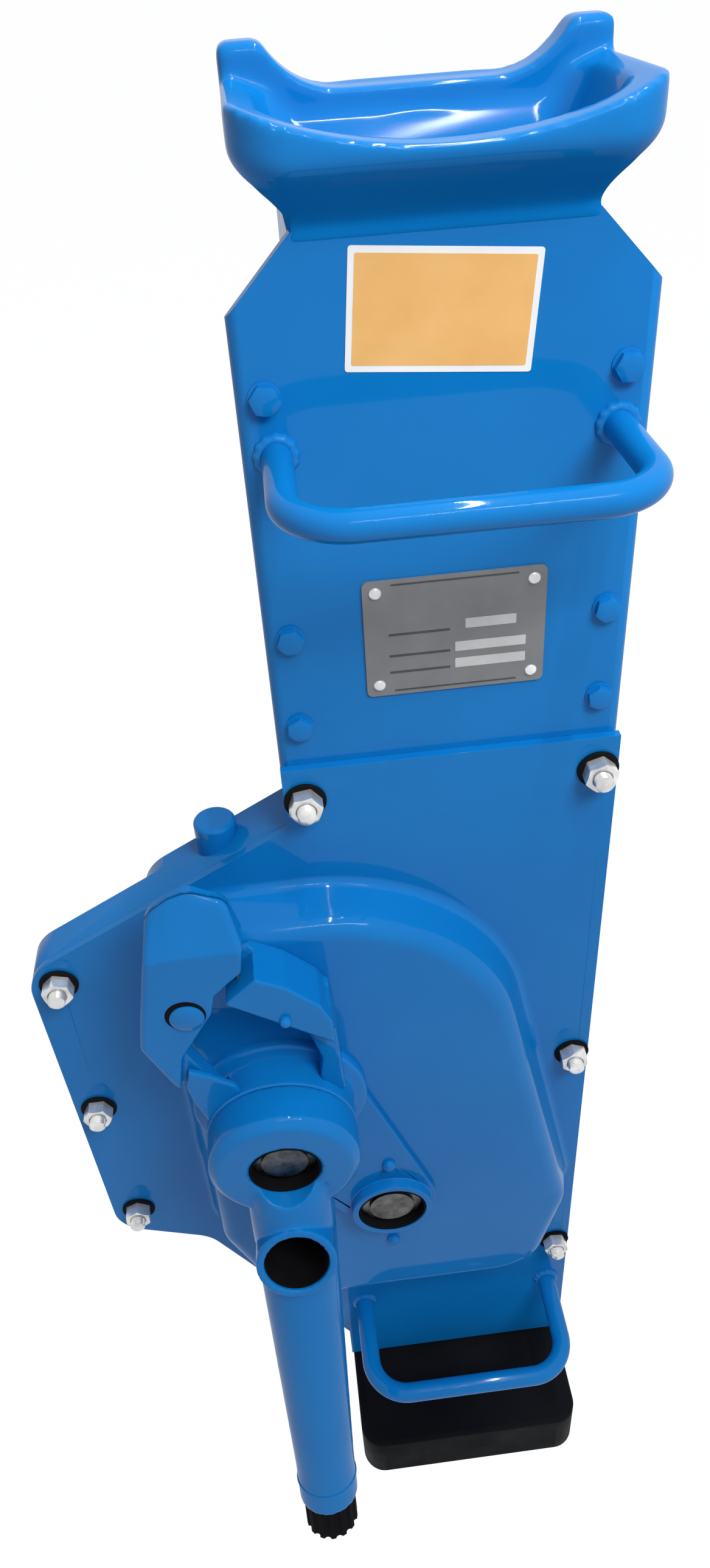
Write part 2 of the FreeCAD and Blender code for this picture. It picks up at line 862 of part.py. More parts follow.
dome_left = size.crank_reach + size.dome_side
dome_top = crank_z + size.dome_rise
dome_shoulder = half_width - size.dome_shoulder_inset
dome_right = half_width - size.dome_right_inset
dome_hip = pinion_z - size.dome_hip_drop
dome_bottom = pinion_z - size.dome_drop


def dome_outline(inset):
    """The dome's outline at the cover, or the same outline drawn in by the sheet."""
    return [
        (inset - dome_left, dome_top - inset, size.dome_corner - inset),
        (dome_shoulder - inset, dome_top - inset, size.dome_round - inset),
        (dome_right - inset, dome_hip, size.dome_corner - inset),
        (dome_right - size.dome_corner / 2 - inset, dome_bottom + inset, size.dome_corner - inset),
        (size.dome_corner + inset - case_heel_reach, dome_bottom + inset, size.dome_corner - inset),
        (inset - dome_left, dome_hip + inset, size.dome_corner - inset),
    ]


dome_line = front_sketch(cover, "dome", cover_out)
outline(dome_line, dome_outline(no_inset))
pad(cover, dome_line, size.dome_height, taper=-1 * size.dome_taper)
round_edges(cover, size.dome_edge, lambda edge: near(middle_of(edge).y, -1 * dome_out))
round_edges(cover, size.dome_foot, lambda edge: lies_on(dome_line, edge))
sketch = front_sketch(cover, "dome_inside", front_out)
outline(sketch, dome_outline(size.cover_thick))
pocket(cover, sketch, dome_out - size.cover_thick - front_out, taper=-1 * size.dome_taper, backwards=True)
sketch = front_sketch(cover, "holes", dome_out)
circle(sketch, crank_x, crank_z, crank_bush_diameter / 2 + size.shaft_fit)
circle(sketch, pinion_x, pinion_z, bush_diameter / 2 + size.shaft_fit)
for rivet_z in (upper_rivet_z, lower_rivet_z):
    circle(sketch, pinion_x, rivet_z, size.bearing_rivet / 2 + size.shaft_fit)
pocket(cover, sketch, size.dome_height)
sketch = front_sketch(cover, "stud_holes", cover_out)
for x, z in STUDS:
    circle(sketch, x, z, size.stud_diameter / 2 + size.shaft_fit)
pocket(cover, sketch, size.cover_thick)

# Rack, foot and their fastenings

rack_pitch = size.rack_module * math.pi
rack_gaps = whole(size.lift_height / rack_pitch) + size.spare_gaps
rack_bottom = size.foot_height - size.foot_socket
rack_root = rack_line + size.rack_module * size.stub_foot_factor
PRESSURE_ANGLE = math.radians(20)
gap_slope = math.tan(PRESSURE_ANGLE)
half_gap = (rack_pitch + size.backlash) / 4
middle_of_rack = (rack_tip + size.rack_back) / 2

bar = new_body("rack_bar")
sketch = front_sketch(bar, "outline", -1 * half_rack)
outline(sketch, [
    (rack_tip, rack_bottom),
    (size.rack_back, rack_bottom),
    (size.rack_back, rack_top),
    (rack_tip, rack_top),
])
pad(bar, sketch, size.rack_depth)
sketch = top_sketch(bar, "bolt_hole", rack_top)
circle(sketch, middle_of_rack, no_inset, size.stop_bolt_diameter / 2 + size.shaft_fit)
pocket(bar, sketch, size.stop_bolt_length)
sketch = side_sketch(bar, "pin_hole", size.rack_back)
circle(sketch, no_inset, rack_bottom + size.foot_socket / 2, size.foot_pin_diameter / 2 + size.shaft_fit)
pocket(bar, sketch, size.rack_back - rack_tip)
sketch = front_sketch(bar, "tooth_gap", half_rack)
first_gap = pinion_z - 2 * rack_pitch
gap_mouth = half_gap + (rack_line - rack_tip + size.backlash) * gap_slope
gap_floor = half_gap - (rack_root - rack_line) * gap_slope
outline(sketch, [
    (rack_tip - size.backlash, first_gap - gap_mouth),
    (rack_root, first_gap - gap_floor),
    (rack_root, first_gap + gap_floor),
    (rack_tip - size.backlash, first_gap + gap_mouth),
])
tooth_gap = pocket(bar, sketch, size.rack_depth)
tooth_gaps = bar.newObject("PartDesign::LinearPattern", "rack_bar_tooth_gaps")
tooth_gaps.Originals = [tooth_gap]
upright = next(part for part in bar.Origin.OriginFeatures if part.Role == "Z_Axis")
tooth_gaps.Direction = (upright, [""])
bind(tooth_gaps, "Length", rack_pitch * (rack_gaps - 1))
bind(tooth_gaps, "Occurrences", rack_gaps)
bar.Tip = tooth_gaps
doc.recompute()

foot = new_body("foot_plate")
half_foot = size.foot_width / 2
sketch = top_sketch(foot, "outline", no_inset)
outline(sketch, [
    (half_foot, -1 * size.foot_front, size.foot_corner),
    (half_foot, size.foot_rear, size.foot_corner),
    (-half_foot, size.foot_rear, size.foot_corner),
    (-half_foot, -1 * size.foot_front, size.foot_corner),
])
pad(foot, sketch, size.foot_height)
round_edges(foot, size.foot_edge, lambda edge: near(middle_of(edge).z, size.foot_height))
sketch = top_sketch(foot, "socket", size.foot_height)
outline(sketch, [
    (rack_tip - size.shaft_fit, -1 * half_rack - size.shaft_fit),
    (size.rack_back + size.shaft_fit, -1 * half_rack - size.shaft_fit),
    (size.rack_back + size.shaft_fit, half_rack + size.shaft_fit),
    (rack_tip - size.shaft_fit, half_rack + size.shaft_fit),
])
pocket(foot, sketch, size.foot_socket)
sketch = side_sketch(foot, "pin_hole", half_foot)
circle(sketch, no_inset, rack_bottom + size.foot_socket / 2, size.foot_pin_diameter / 2 + size.shaft_fit)
pocket(foot, sketch, size.foot_width)

ALONG_X = FreeCAD.Rotation(Vector(0, 1, 0), 90)
UPRIGHT = FreeCAD.Rotation()
keep(cylinder("foot_pin", size.foot_pin_diameter, size.foot_width, -half_foot, no_inset,
              rack_bottom + size.foot_socket / 2, ALONG_X), "foot_pin")

stop = new_body("rack_stop")
sketch = top_sketch(stop, "outline", rack_top)
stop_reach = half_rack + size.stop_overhang
outline(sketch, [
    (rack_tip, -1 * stop_reach),
    (size.rack_back + size.stop_overhang, -1 * stop_reach),
    (size.rack_back + size.stop_overhang, stop_reach),
    (rack_tip, stop_reach),
])
circle(sketch, middle_of_rack, no_inset, size.stop_bolt_diameter / 2 + size.shaft_fit)
pad(stop, sketch, size.stop_thick)

stop_head = prism("stop_head", size.stop_bolt_flats, size.stop_bolt_head, middle_of_rack, no_inset,
                  stop_top, UPRIGHT)
stop_shank = cylinder("stop_shank", size.stop_bolt_diameter, size.stop_thick + size.stop_bolt_length,
                      middle_of_rack, no_inset, rack_top - size.stop_bolt_length, UPRIGHT)
keep(fuse("stop_bolt", [stop_head, stop_shank]), "stop_bolt")

# Guides that the rack runs in

inside_half = half_width - size.wall - size.shaft_fit


def guide(label, bottom, rear_y, front_y):
    block = new_body(label)
    block_sketch = top_sketch(block, "outline", bottom)
    outline(block_sketch, [
        (inside_half, front_y),
        (inside_half, rear_y),
        (-inside_half, rear_y),
        (-inside_half, front_y),
    ])
    outline(block_sketch, [
        (rack_left, -1 * half_rack - size.slide_clearance),
        (size.rack_back + size.slide_clearance, -1 * half_rack - size.slide_clearance),
        (size.rack_back + size.slide_clearance, half_rack + size.slide_clearance),
        (rack_left, half_rack + size.slide_clearance),
    ])
    pad(block, block_sketch, size.guide_height)


inside_y = inside_out - size.shaft_fit
guide("lower_guide", size.foot_height, inside_y, -1 * inside_y)
guide("upper_guide", upper_guide_bottom, inside_y, size.gear_gap - drive_out)

# Gears and shafts


def involute(angle):
    return math.tan(angle) - angle


def gear_outline(sketch, teeth, module, shift, tip_radius, root_radius, turn):
    """Involute teeth round the sketch's origin, with one tooth at the angle turn in radians."""
    count = round(number(teeth))
    pitch_radius = number(module * teeth / 2)
    base_radius = pitch_radius * math.cos(PRESSURE_ANGLE)
    thickness = number(module) * (math.pi / 2 + 2 * number(shift) * math.tan(PRESSURE_ANGLE))
    thickness -= number(size.backlash) / 2
    half_at_base = thickness / (2 * pitch_radius) + involute(PRESSURE_ANGLE)
    tip = number(tip_radius)
    low = number(root_radius)
    flank_low = max(base_radius, low)
    flank_middle = (flank_low + tip) / 2

    def half_angle(radius):
        return half_at_base - involute(math.acos(min(1, base_radius / radius)))

    def spot(radius, angle):
        return Vector(radius * math.cos(angle), radius * math.sin(angle), 0)

    def flank(middle, side):
        radii = (flank_low, flank_middle, tip)
        spots = [spot(radius, middle + side * half_angle(radius)) for radius in radii]
        pieces = [left_arc(*spots)[0]]
        if low < base_radius:
            pieces.append(Part.LineSegment(spot(low, middle + side * half_angle(flank_low)), spots[0]))
        return pieces

    pieces = []
    step = 2 * math.pi / count
    for tooth in range(count):
        middle = turn + tooth * step
        tip_half = half_angle(tip)
        low_half = half_angle(flank_low)
        pieces += flank(middle, -1)
        pieces.append(Part.Arc(spot(tip, middle - tip_half), spot(tip, middle), spot(tip, middle + tip_half)))
        pieces += flank(middle, 1)
        pieces.append(Part.Arc(spot(low, middle + low_half), spot(low, middle + step / 2),
                               spot(low, middle + step - low_half)))
    sketch.addGeometry(pieces, False)


def centred_body(label, x, z):
    """A body whose own origin lies on the axis of a shaft."""
    body = new_body(label)
    bind(body, "Placement.Base.x", x)
    bind(body, "Placement.Base.z", z)
    return body


def shaft_run(body, name, diameter, start, end):
    run = front_sketch(body, name, start)
    circle(run, no_inset, no_inset, diameter / 2)
    pad(body, run, end - start)


def gear_run(body, name, teeth, module, shift, turn, start, end,
             tip=size.tooth_tip_factor, foot=size.tooth_foot_factor):
    run = front_sketch(body, name, start)
    pitch_radius = module * teeth / 2
    gear_outline(run, teeth, module, shift, pitch_radius + module * (shift + tip),
                 pitch_radius + module * (shift - foot), turn)
    pad(body, run, end - start)


def bore(body, name, diameter, start, end):
    hole = front_sketch(body, name, end)
    circle(hole, no_inset, no_inset, diameter / 2)
    pocket(body, hole, end - start)


def heading(from_x, from_z, to_x, to_z):
    return math.atan2(number(to_z - from_z), number(to_x - from_x))


def half_step(teeth):
    return math.pi / number(teeth)


to_idler = heading(crank_x, crank_z, idler_x, idler_z)
to_pinion = heading(idler_x, idler_z, pinion_x, pinion_z)
half_gap_ahead = size.gear_gap / 2
shaft_bore = size.shaft_diameter + 2 * size.shaft_fit
crank_shaft_bore = size.crank_shaft_diameter + 2 * size.shaft_fit
crank_rear_out = case_back_out
eye_front_out = eye_out + size.eye_thick
recess_out = eye_front_out - size.eye_recess_depth
crank_tip_out = recess_out + 2 * size.circlip_thick
plate_out = dome_out + size.bearing_height
plate_recess_out = plate_out - size.bearing_recess_depth
drive_end_out = plate_recess_out + 2 * size.circlip_thick
first_end_out = first_out + size.first_face
drive_gear_end_out = drive_out + size.drive_face

crank_shaft = centred_body("crank_shaft", crank_x, crank_z)
shaft_run(crank_shaft, "rear", size.crank_shaft_diameter, crank_rear_out, first_out - half_gap_ahead)
gear_run(crank_shaft, "pinion", size.first_pinion_teeth, size.first_module, size.first_shift_factor, to_idler,
         first_out - half_gap_ahead, first_end_out + half_gap_ahead)
shaft_run(crank_shaft, "front", size.crank_shaft_diameter, first_end_out + half_gap_ahead, crank_tip_out)

idler_shaft = centred_body("idler_shaft", idler_x, idler_z)
shaft_run(idler_shaft, "rear", size.shaft_diameter, -1 * front_out, drive_out - half_gap_ahead)
gear_run(idler_shaft, "pinion", size.drive_pinion_teeth, size.drive_module, size.drive_shift_factor,
         to_pinion, drive_out - half_gap_ahead, drive_gear_end_out + half_gap_ahead)
shaft_run(idler_shaft, "front", size.shaft_diameter, drive_gear_end_out + half_gap_ahead,
          first_end_out + 2 * size.circlip_thick)

first_gear = centred_body("first_gear", idler_x, idler_z)
gear_run(first_gear, "teeth", size.first_gear_teeth, size.first_module, -size.first_shift_factor,
         to_idler + math.pi + half_step(size.first_gear_teeth), first_out, first_end_out)
bore(first_gear, "bore", shaft_bore, first_out, first_end_out)

pinion_shaft = centred_body("pinion_shaft", pinion_x, pinion_z)
shaft_run(pinion_shaft, "rear", size.shaft_diameter, -1 * front_out, -1 * half_rack_pinion)
gear_run(pinion_shaft, "pinion", size.rack_pinion_teeth, size.rack_module, size.rack_shift_factor, 0,
         -1 * half_rack_pinion, half_rack_pinion, size.stub_tip_factor, size.stub_foot_factor)
shaft_run(pinion_shaft, "collar", size.shaft_collar, half_rack_pinion, drive_out)
shaft_run(pinion_shaft, "front", size.shaft_diameter, drive_out, drive_end_out)

drive_gear = centred_body("drive_gear", pinion_x, pinion_z)
gear_run(drive_gear, "teeth", size.drive_gear_teeth, size.drive_module, -size.drive_shift_factor,
         to_pinion + math.pi + half_step(size.drive_gear_teeth), drive_out, drive_gear_end_out)
bore(drive_gear, "bore", shaft_bore, drive_out, drive_gear_end_out)


def circlip(label, shaft_hole, x, out, z):
    keep(ring(label, shaft_hole + 2 * size.circlip_width, shaft_hole, size.circlip_thick, x, out, z), label)


circlip("crank_circlip", crank_shaft_bore, crank_x, recess_out, crank_z)
circlip("idler_circlip", shaft_bore, idler_x, first_end_out, idler_z)
circlip("pinion_circlip", shaft_bore, pinion_x, plate_recess_out, pinion_z)

# Bushes

keep(ring("crank_front_bush", crank_bush_diameter, crank_shaft_bore, size.cover_thick + size.wall,
          crank_x, dome_out - size.cover_thick, crank_z), "crank_front_bush")
keep(ring("crank_rear_bush", crank_bush_diameter, crank_shaft_bore, size.wall,
          crank_x, case_back_out, crank_z), "crank_rear_bush")
for shaft_name, x, z in (("idler", idler_x, idler_z), ("pinion", pinion_x, pinion_z)):
    keep(ring(f"{shaft_name}_front_bush", bush_diameter, shaft_bore, size.wall, x, inside_out, z),
         f"{shaft_name}_front_bush")
    keep(ring(f"{shaft_name}_rear_bush", bush_diameter, shaft_bore, size.wall, x, -1 * front_out, z),
         f"{shaft_name}_rear_bush")
keep(ring("pinion_outer_bush", bush_diameter, shaft_bore, plate_recess_out - dome_out + size.cover_thick,
          pinion_x, dome_out - size.cover_thick, pinion_z), "pinion_outer_bush")

# Ratchet sleeve, wheel and brake discs

sleeve_floor_out = dome_out + size.wall
sleeve_inside = sleeve_radius - size.sleeve_wall
sleeve = new_body("crank_sleeve")
sketch = front_sketch(sleeve, "outline", dome_out)
circle(sketch, crank_x, crank_z, sleeve_radius)
pad(sleeve, sketch, size.sleeve_length)
sketch = front_sketch(sleeve, "inside", sleeve_out)
circle(sketch, crank_x, crank_z, sleeve_inside)
pocket(sleeve, sketch, size.sleeve_length - size.wall)
sketch = front_sketch(sleeve, "bush_hole", sleeve_out)
circle(sketch, crank_x, crank_z, crank_bush_diameter / 2 + size.shaft_fit)
pocket(sleeve, sketch, size.sleeve_length)


def around_crank(radius, degrees):
    turn = math.radians(degrees)
    return (crank_x + radius * math.cos(turn), crank_z + radius * math.sin(turn))


WINDOW_START = 104
WINDOW_END = 164
window_outside = sleeve_radius * 1.6
window_inside = sleeve_inside * 0.9
sketch = front_sketch(sleeve, "pawl_window", sleeve_out)
outline(sketch, [
    around_crank(window_inside, WINDOW_START),
    around_crank(window_outside, WINDOW_START),
    around_crank(window_outside, WINDOW_END),
    around_crank(window_inside, WINDOW_END),
])
pocket(sleeve, sketch, size.sleeve_length - size.wall)

disc_out = sleeve_floor_out + size.slide_clearance
wheel_out = disc_out + size.brake_disc
front_disc_out = wheel_out + size.ratchet_thick
boss_out = front_disc_out + size.brake_disc

wheel = centred_body("ratchet_wheel", crank_x, crank_z)
sketch = front_sketch(wheel, "blank", wheel_out)
circle(sketch, no_inset, no_inset, size.ratchet_radius)
pad(wheel, sketch, size.ratchet_thick)
tooth_step = 2 * math.pi / number(size.ratchet_teeth)
ratchet_root = size.ratchet_radius - size.ratchet_tooth
sketch = front_sketch(wheel, "notch", wheel_out + size.ratchet_thick)
outline(sketch, [
    (ratchet_root, no_inset),
    (size.ratchet_radius * 1.1, no_inset),
    (size.ratchet_radius * math.cos(tooth_step * 0.8), size.ratchet_radius * math.sin(tooth_step * 0.8)),
])
notch_cut = pocket(wheel, sketch, size.ratchet_thick)
notches = wheel.newObject("PartDesign::PolarPattern", "ratchet_wheel_notches")
notches.Originals = [notch_cut]
wheel_axis = next(part for part in wheel.Origin.OriginFeatures if part.Role == "Y_Axis")
notches.Axis = (wheel_axis, [""])
bind(notches, "Occurrences", size.ratchet_teeth)
wheel.Tip = notches
doc.recompute()
bore(wheel, "bore", crank_shaft_bore, wheel_out, wheel_out + size.ratchet_thick)

disc_diameter = 2 * (ratchet_root - size.brake_disc)
keep(group("brake_discs", [
    ring(name, disc_diameter, crank_shaft_bore, size.brake_disc, crank_x, out, crank_z)
    for name, out in (("rear_disc", disc_out), ("front_disc", front_disc_out))
]), "brake_discs")

# Bearing plate, its raised rim and its rivets

bearing = new_body("bearing_plate")
sketch = front_sketch(bearing, "outline", dome_out)
hull(sketch, pinion_x, pinion_z, size.bearing_radius, crank_x, crank_z, bearing_shoulder)
pad(bearing, sketch, size.bearing_thick)
sketch = front_sketch(bearing, "rim", dome_out)
circle(sketch, pinion_x, pinion_z, size.bearing_rim)
pad(bearing, sketch, plate_out - dome_out)
sketch = front_sketch(bearing, "sleeve_room", plate_out)
circle(sketch, crank_x, crank_z, sleeve_radius + size.slide_clearance)
pocket(bearing, sketch, plate_out - dome_out)
sketch = front_sketch(bearing, "recess", plate_out)
circle(sketch, pinion_x, pinion_z, size.bearing_recess / 2)
pocket(bearing, sketch, size.bearing_recess_depth)
sketch = front_sketch(bearing, "holes", plate_out)
circle(sketch, pinion_x, pinion_z, bush_diameter / 2 + size.shaft_fit)
circle(sketch, pinion_x, upper_rivet_z, size.bearing_rivet / 2 + size.shaft_fit)
pocket(bearing, sketch, plate_out - dome_out)


def rivet(name, shank, head, head_height, grip, x, out, z):
    """A rivet whose head stands on the plane at out and whose shank reaches back by its grip."""
    rivet_head = cylinder(f"{name}_head", head, head_height, x, out, z)
    rivet_shank = cylinder(f"{name}_shank", shank, grip, x, out - grip, z)
    return fuse(name, [rivet_head, rivet_shank])


keep(group("bearing_rivets", [
    rivet("upper_bearing_rivet", size.bearing_rivet, size.bearing_rivet_head, size.bearing_rivet_height,
          size.bearing_thick + size.cover_thick, pinion_x, dome_out + size.bearing_thick, upper_rivet_z),
    rivet("lower_bearing_rivet", size.bearing_rivet, size.bearing_rivet_head, size.bearing_rivet_height,
          size.cover_thick, pinion_x, dome_out, lower_rivet_z),
]), "bearing_rivets")

# Pawl, its bracket with the guard wedge, pin and spring

pawl_x = crank_x - size.pawl_pivot_side
pawl_z = crank_z + size.pawl_pivot_rise
pawl_out = sleeve_floor_out + size.slide_clearance
pawl_front_out = pawl_out + size.pawl_thick


def pawl_spot(across, up):
    """A spot of the pawl, given in shares of its reach from the pivot."""
    return (pawl_x + size.pawl_reach * across, pawl_z + size.pawl_reach * up)


def beside(spot):
    """The spot of the guard that faces a spot of the pawl."""
    return (spot[0] + size.guard_gap, spot[1])


pawl_chin = pawl_spot(0.43, 0.64)
heel = pawl_spot(0.4, 0.4)
throat = pawl_spot(0.2, 0.19)
nose_side = pawl_spot(-0.09, -0.4)
nose_end = pawl_spot(-0.15, -0.73)
nose_tip = around_crank(size.ratchet_radius + size.pawl_gap, 135)

pawl = new_body("pawl")
sketch = front_sketch(pawl, "outline", pawl_out)
outline(sketch, [
    pawl_spot(-0.26, 0.29),
    pawl_spot(-0.15, 0.95) + (size.pawl_rounding,),
    pawl_spot(0.13, 1.06) + (size.pawl_rounding,),
    pawl_spot(0.36, 0.95) + (size.pawl_rounding,),
    pawl_chin,
    heel,
    throat,
    pawl_spot(0.16, 0),
    nose_side,
    nose_end,
    pawl_spot(-0.21, -0.67),
    pawl_spot(-0.36, -0.29) + (size.pawl_rounding,),
])
pad(pawl, sketch, size.pawl_thick)
round_edges(pawl, size.pawl_edge, lambda edge: near(middle_of(edge).y, -1 * pawl_front_out)
            and middle_of(edge).z > number(pawl_chin[1]))
sketch = front_sketch(pawl, "tooth", wheel_out)
outline(sketch, [
    nose_side,
    nose_tip,
    nose_end,
    pawl_spot(-0.2, -0.5),
])
pad(pawl, sketch, size.ratchet_thick)
sketch = front_sketch(pawl, "pin_hole", pawl_front_out)
circle(sketch, pawl_x, pawl_z, size.pawl_pin_diameter / 2 + size.shaft_fit)
pocket(pawl, sketch, size.pawl_thick)
spring_x = (heel[0] + throat[0]) / 2
spring_z = (heel[1] + throat[1]) / 2
spring_out = pawl_out + size.pawl_thick / 2
spring_room = size.spring_diameter / 2 + size.slide_clearance
sketch = side_sketch(pawl, "spring_seat", heel[0])
circle(sketch, -1 * spring_out, spring_z, spring_room)
pocket(pawl, sketch, heel[0] - spring_x + size.spring_seat)

bracket = new_body("pawl_bracket")
guard_out = sleeve_out + size.guard_proud
guard_right = crank_x + size.guard_side
guard_left = beside(heel)[0]
GUARD_END = [
    (guard_right, crank_z + size.guard_low_rise),
    (guard_right, crank_z + size.guard_rise, size.guard_rounding),
    beside(heel),
]
sketch = front_sketch(bracket, "base", dome_out)
outline(sketch, GUARD_END + [
    (pawl_x - size.pawl_pin_diameter, pawl_z + size.pawl_pin_diameter, size.guard_rounding),
    (pawl_x - size.pawl_pin_diameter, pawl_z - size.pawl_pin_diameter, size.guard_rounding),
])
pad(bracket, sketch, size.wall)
sketch = front_sketch(bracket, "guard", sleeve_floor_out)
outline(sketch, GUARD_END + [beside(throat)])
pad(bracket, sketch, guard_out - sleeve_floor_out)
round_edges(bracket, size.guard_edge, lambda edge: near(middle_of(edge).y, -1 * guard_out)
            and middle_of(edge).x > number(guard_left)
            and middle_of(edge).z > number(crank_z + size.guard_rise))
sketch = front_sketch(bracket, "pin_hole", sleeve_floor_out)
circle(sketch, pawl_x, pawl_z, size.pawl_pin_diameter / 2 + size.shaft_fit)
pocket(bracket, sketch, size.wall)
sketch = side_sketch(bracket, "spring_seat", beside((spring_x, spring_z))[0] + size.spring_seat)
circle(sketch, -1 * spring_out, spring_z, spring_room)
pocket(bracket, sketch, size.guard_gap + size.spring_seat)

pin_head_out = pawl_front_out + size.slide_clearance
pin_shank = cylinder("pawl_pin_shank", size.pawl_pin_diameter, pin_head_out - dome_out,
                     pawl_x, dome_out, pawl_z)
pin_head = cylinder("pawl_pin_head", size.pawl_pin_head, size.guard_proud, pawl_x, pin_head_out, pawl_z)
keep(fuse("pawl_pin", [pin_shank, pin_head]), "pawl_pin")

keep(cylinder("guard_rivet", size.bearing_rivet_head, size.bearing_rivet_height,
              crank_x + size.bearing_rivet_head, guard_out, pawl_z - size.bearing_rivet), "guard_rivet")

spring = new_body("pawl_spring")
spring_length = size.guard_gap + 2 * size.spring_seat
bind(spring, "Placement.Base.x", spring_x - size.spring_seat)
bind(spring, "Placement.Base.y", -1 * spring_out)
bind(spring, "Placement.Base.z", spring_z)
sketch = front_sketch(spring, "wire", no_inset)
circle(sketch, size.spring_wire / 2, (size.spring_diameter - size.spring_wire) / 2, size.spring_wire / 2)
coil = spring.newObject("PartDesign::AdditiveHelix", "pawl_spring_coil")
coil.Profile = sketch
coil.ReferenceAxis = (sketch, ["H_Axis"])
coil.Mode = 0
bind(coil, "Pitch", size.spring_pitch)
bind(coil, "Height", spring_length - size.spring_wire)
doc.recompute()

# Crank: an arm that leans outwards, with a pull-out grip stored in its end

lean_sine = Size(math.sin(math.radians(number(size.arm_lean))), "sin(Sizes.arm_lean)")
lean_cosine = Size(math.cos(math.radians(number(size.arm_lean))), "cos(Sizes.arm_lean)")
arm_axis_out = eye_out + size.eye_thick / 2 - size.arm_setback
SIDEWAYS = Vector(1, 0, 0)


def along_arm(piece, distance, angle):
    """Put a piece on the arm's axis, turned about the sideways direction."""
    turned = FreeCAD.Rotation(SIDEWAYS, number(angle))
    piece.Placement = FreeCAD.Placement(Vector(), turned)
    bind(piece, "Placement.Rotation.Angle", Size(number(angle), f"{wording(angle)} * 1 deg"))
    bind(piece, "Placement.Base.x", crank_x)
    bind(piece, "Placement.Base.y", -1 * (arm_axis_out + distance * lean_sine))
    bind(piece, "Placement.Base.z", crank_z - distance * lean_cosine)
    return piece


down_the_arm = 180 - size.arm_lean
across_the_arm = 90 - size.arm_lean


def arm_cylinder(name, diameter, start, end):
    piece = doc.addObject("Part::Cylinder", name)
    bind(piece, "Radius", diameter / 2)
    bind(piece, "Height", end - start)
    return along_arm(piece, start, down_the_arm)


def arm_cross(name, diameter, length):
    """A cylinder square to the arm at the cross-hole, half of it in front and half behind."""
    piece = doc.addObject("Part::Cylinder", name)
    bind(piece, "Radius", diameter / 2)
    bind(piece, "Height", length)
    along_arm(piece, size.arm_hole_distance, across_the_arm)
    bind(piece, "Placement.Base.y", -1 * (arm_axis_out + size.arm_hole_distance * lean_sine
                                          - lean_cosine * length / 2))
    bind(piece, "Placement.Base.z", crank_z - size.arm_hole_distance * lean_cosine - lean_sine * length / 2)
    return piece


arm_taper = doc.addObject("Part::Cone", "arm_taper")
bind(arm_taper, "Radius1", size.arm_root_diameter / 2)
bind(arm_taper, "Radius2", size.arm_end_diameter / 2)
bind(arm_taper, "Height", size.arm_length - size.arm_start)
along_arm(arm_taper, size.arm_start, down_the_arm)
arm_ball = doc.addObject("Part::Sphere", "arm_ball")
bind(arm_ball, "Radius", size.arm_root_diameter / 2)
along_arm(arm_ball, size.arm_start, down_the_arm)
arm_collar = arm_cylinder("arm_collar", size.collar_diameter, size.arm_length - size.collar_length,
                          size.arm_length)
hole_rim = arm_cross("hole_rim", size.arm_hole + 2 * size.arm_hole_rim,
                     size.arm_root_diameter + size.arm_hole_rim)
arm_blank = fuse("arm_blank", [arm_taper, arm_ball, arm_collar, hole_rim])
flat_back = cylinder("flat_back", 2 * size.arm_length, eye_out + size.guard_proud + size.slide_clearance,
                     crank_x, no_inset, crank_z)
arm_flat = cut("arm_flat", arm_blank, flat_back)
eye_disc = cylinder("eye_disc", 2 * sleeve_radius, size.eye_thick - size.eye_chamfer,
                    crank_x, eye_out, crank_z)
eye_front = doc.addObject("Part::Cone", "eye_front")
bind(eye_front, "Radius1", sleeve_radius)
bind(eye_front, "Radius2", sleeve_radius - size.eye_chamfer)
bind(eye_front, "Height", size.eye_chamfer)
place(eye_front, crank_x, eye_front_out - size.eye_chamfer, crank_z)
rear_boss = cylinder("rear_boss", disc_diameter, eye_out - boss_out, crank_x, boss_out, crank_z)
arm_whole = fuse("arm_whole", [arm_flat, eye_disc, eye_front, rear_boss])
eye_recess = cylinder("eye_recess", size.eye_recess, size.arm_length, crank_x, recess_out, crank_z)
eye_bore = cylinder("eye_bore", crank_shaft_bore, eye_front_out, crank_x, no_inset, crank_z)
cross_hole = arm_cross("cross_hole", size.arm_hole, 2 * size.arm_root_diameter)
grip_room = size.grip_bar_diameter + 2 * size.grip_clearance
grip_start = size.arm_length - size.grip_stored
grip_bore = arm_cylinder("grip_bore", grip_room, grip_start - size.grip_clearance, size.arm_length)
arm_holes = fuse("arm_holes", [eye_recess, eye_bore, cross_hole, grip_bore])
keep(cut("crank_arm", arm_whole, arm_holes), "crank_arm")

grip = new_body("crank_grip")
along_arm(grip, no_inset, down_the_arm)
sketch = top_sketch(grip, "bar", grip_start)
circle(sketch, no_inset, no_inset, size.grip_bar_diameter / 2)
pad(grip, sketch, size.grip_stored)
sketch = top_sketch(grip, "knob", size.arm_length)
circle(sketch, no_inset, no_inset, size.grip_diameter / 2)
pad(grip, sketch, size.grip_length)
sketch = top_sketch(grip, "flute", size.arm_length + size.grip_length)
circle(sketch, size.grip_diameter / 2 + size.grip_flute / 3, no_inset, size.grip_flute)
flute = pocket(grip, sketch, size.grip_length)
flutes = grip.newObject("PartDesign::PolarPattern", "crank_grip_flutes")
flutes.Originals = [flute]
grip_axis = next(part for part in grip.Origin.OriginFeatures if part.Role == "Z_Axis")
flutes.Axis = (grip_axis, [""])
bind(flutes, "Occurrences", size.grip_flutes)
grip.Tip = flutes
doc.recompute()

# Carrying handles


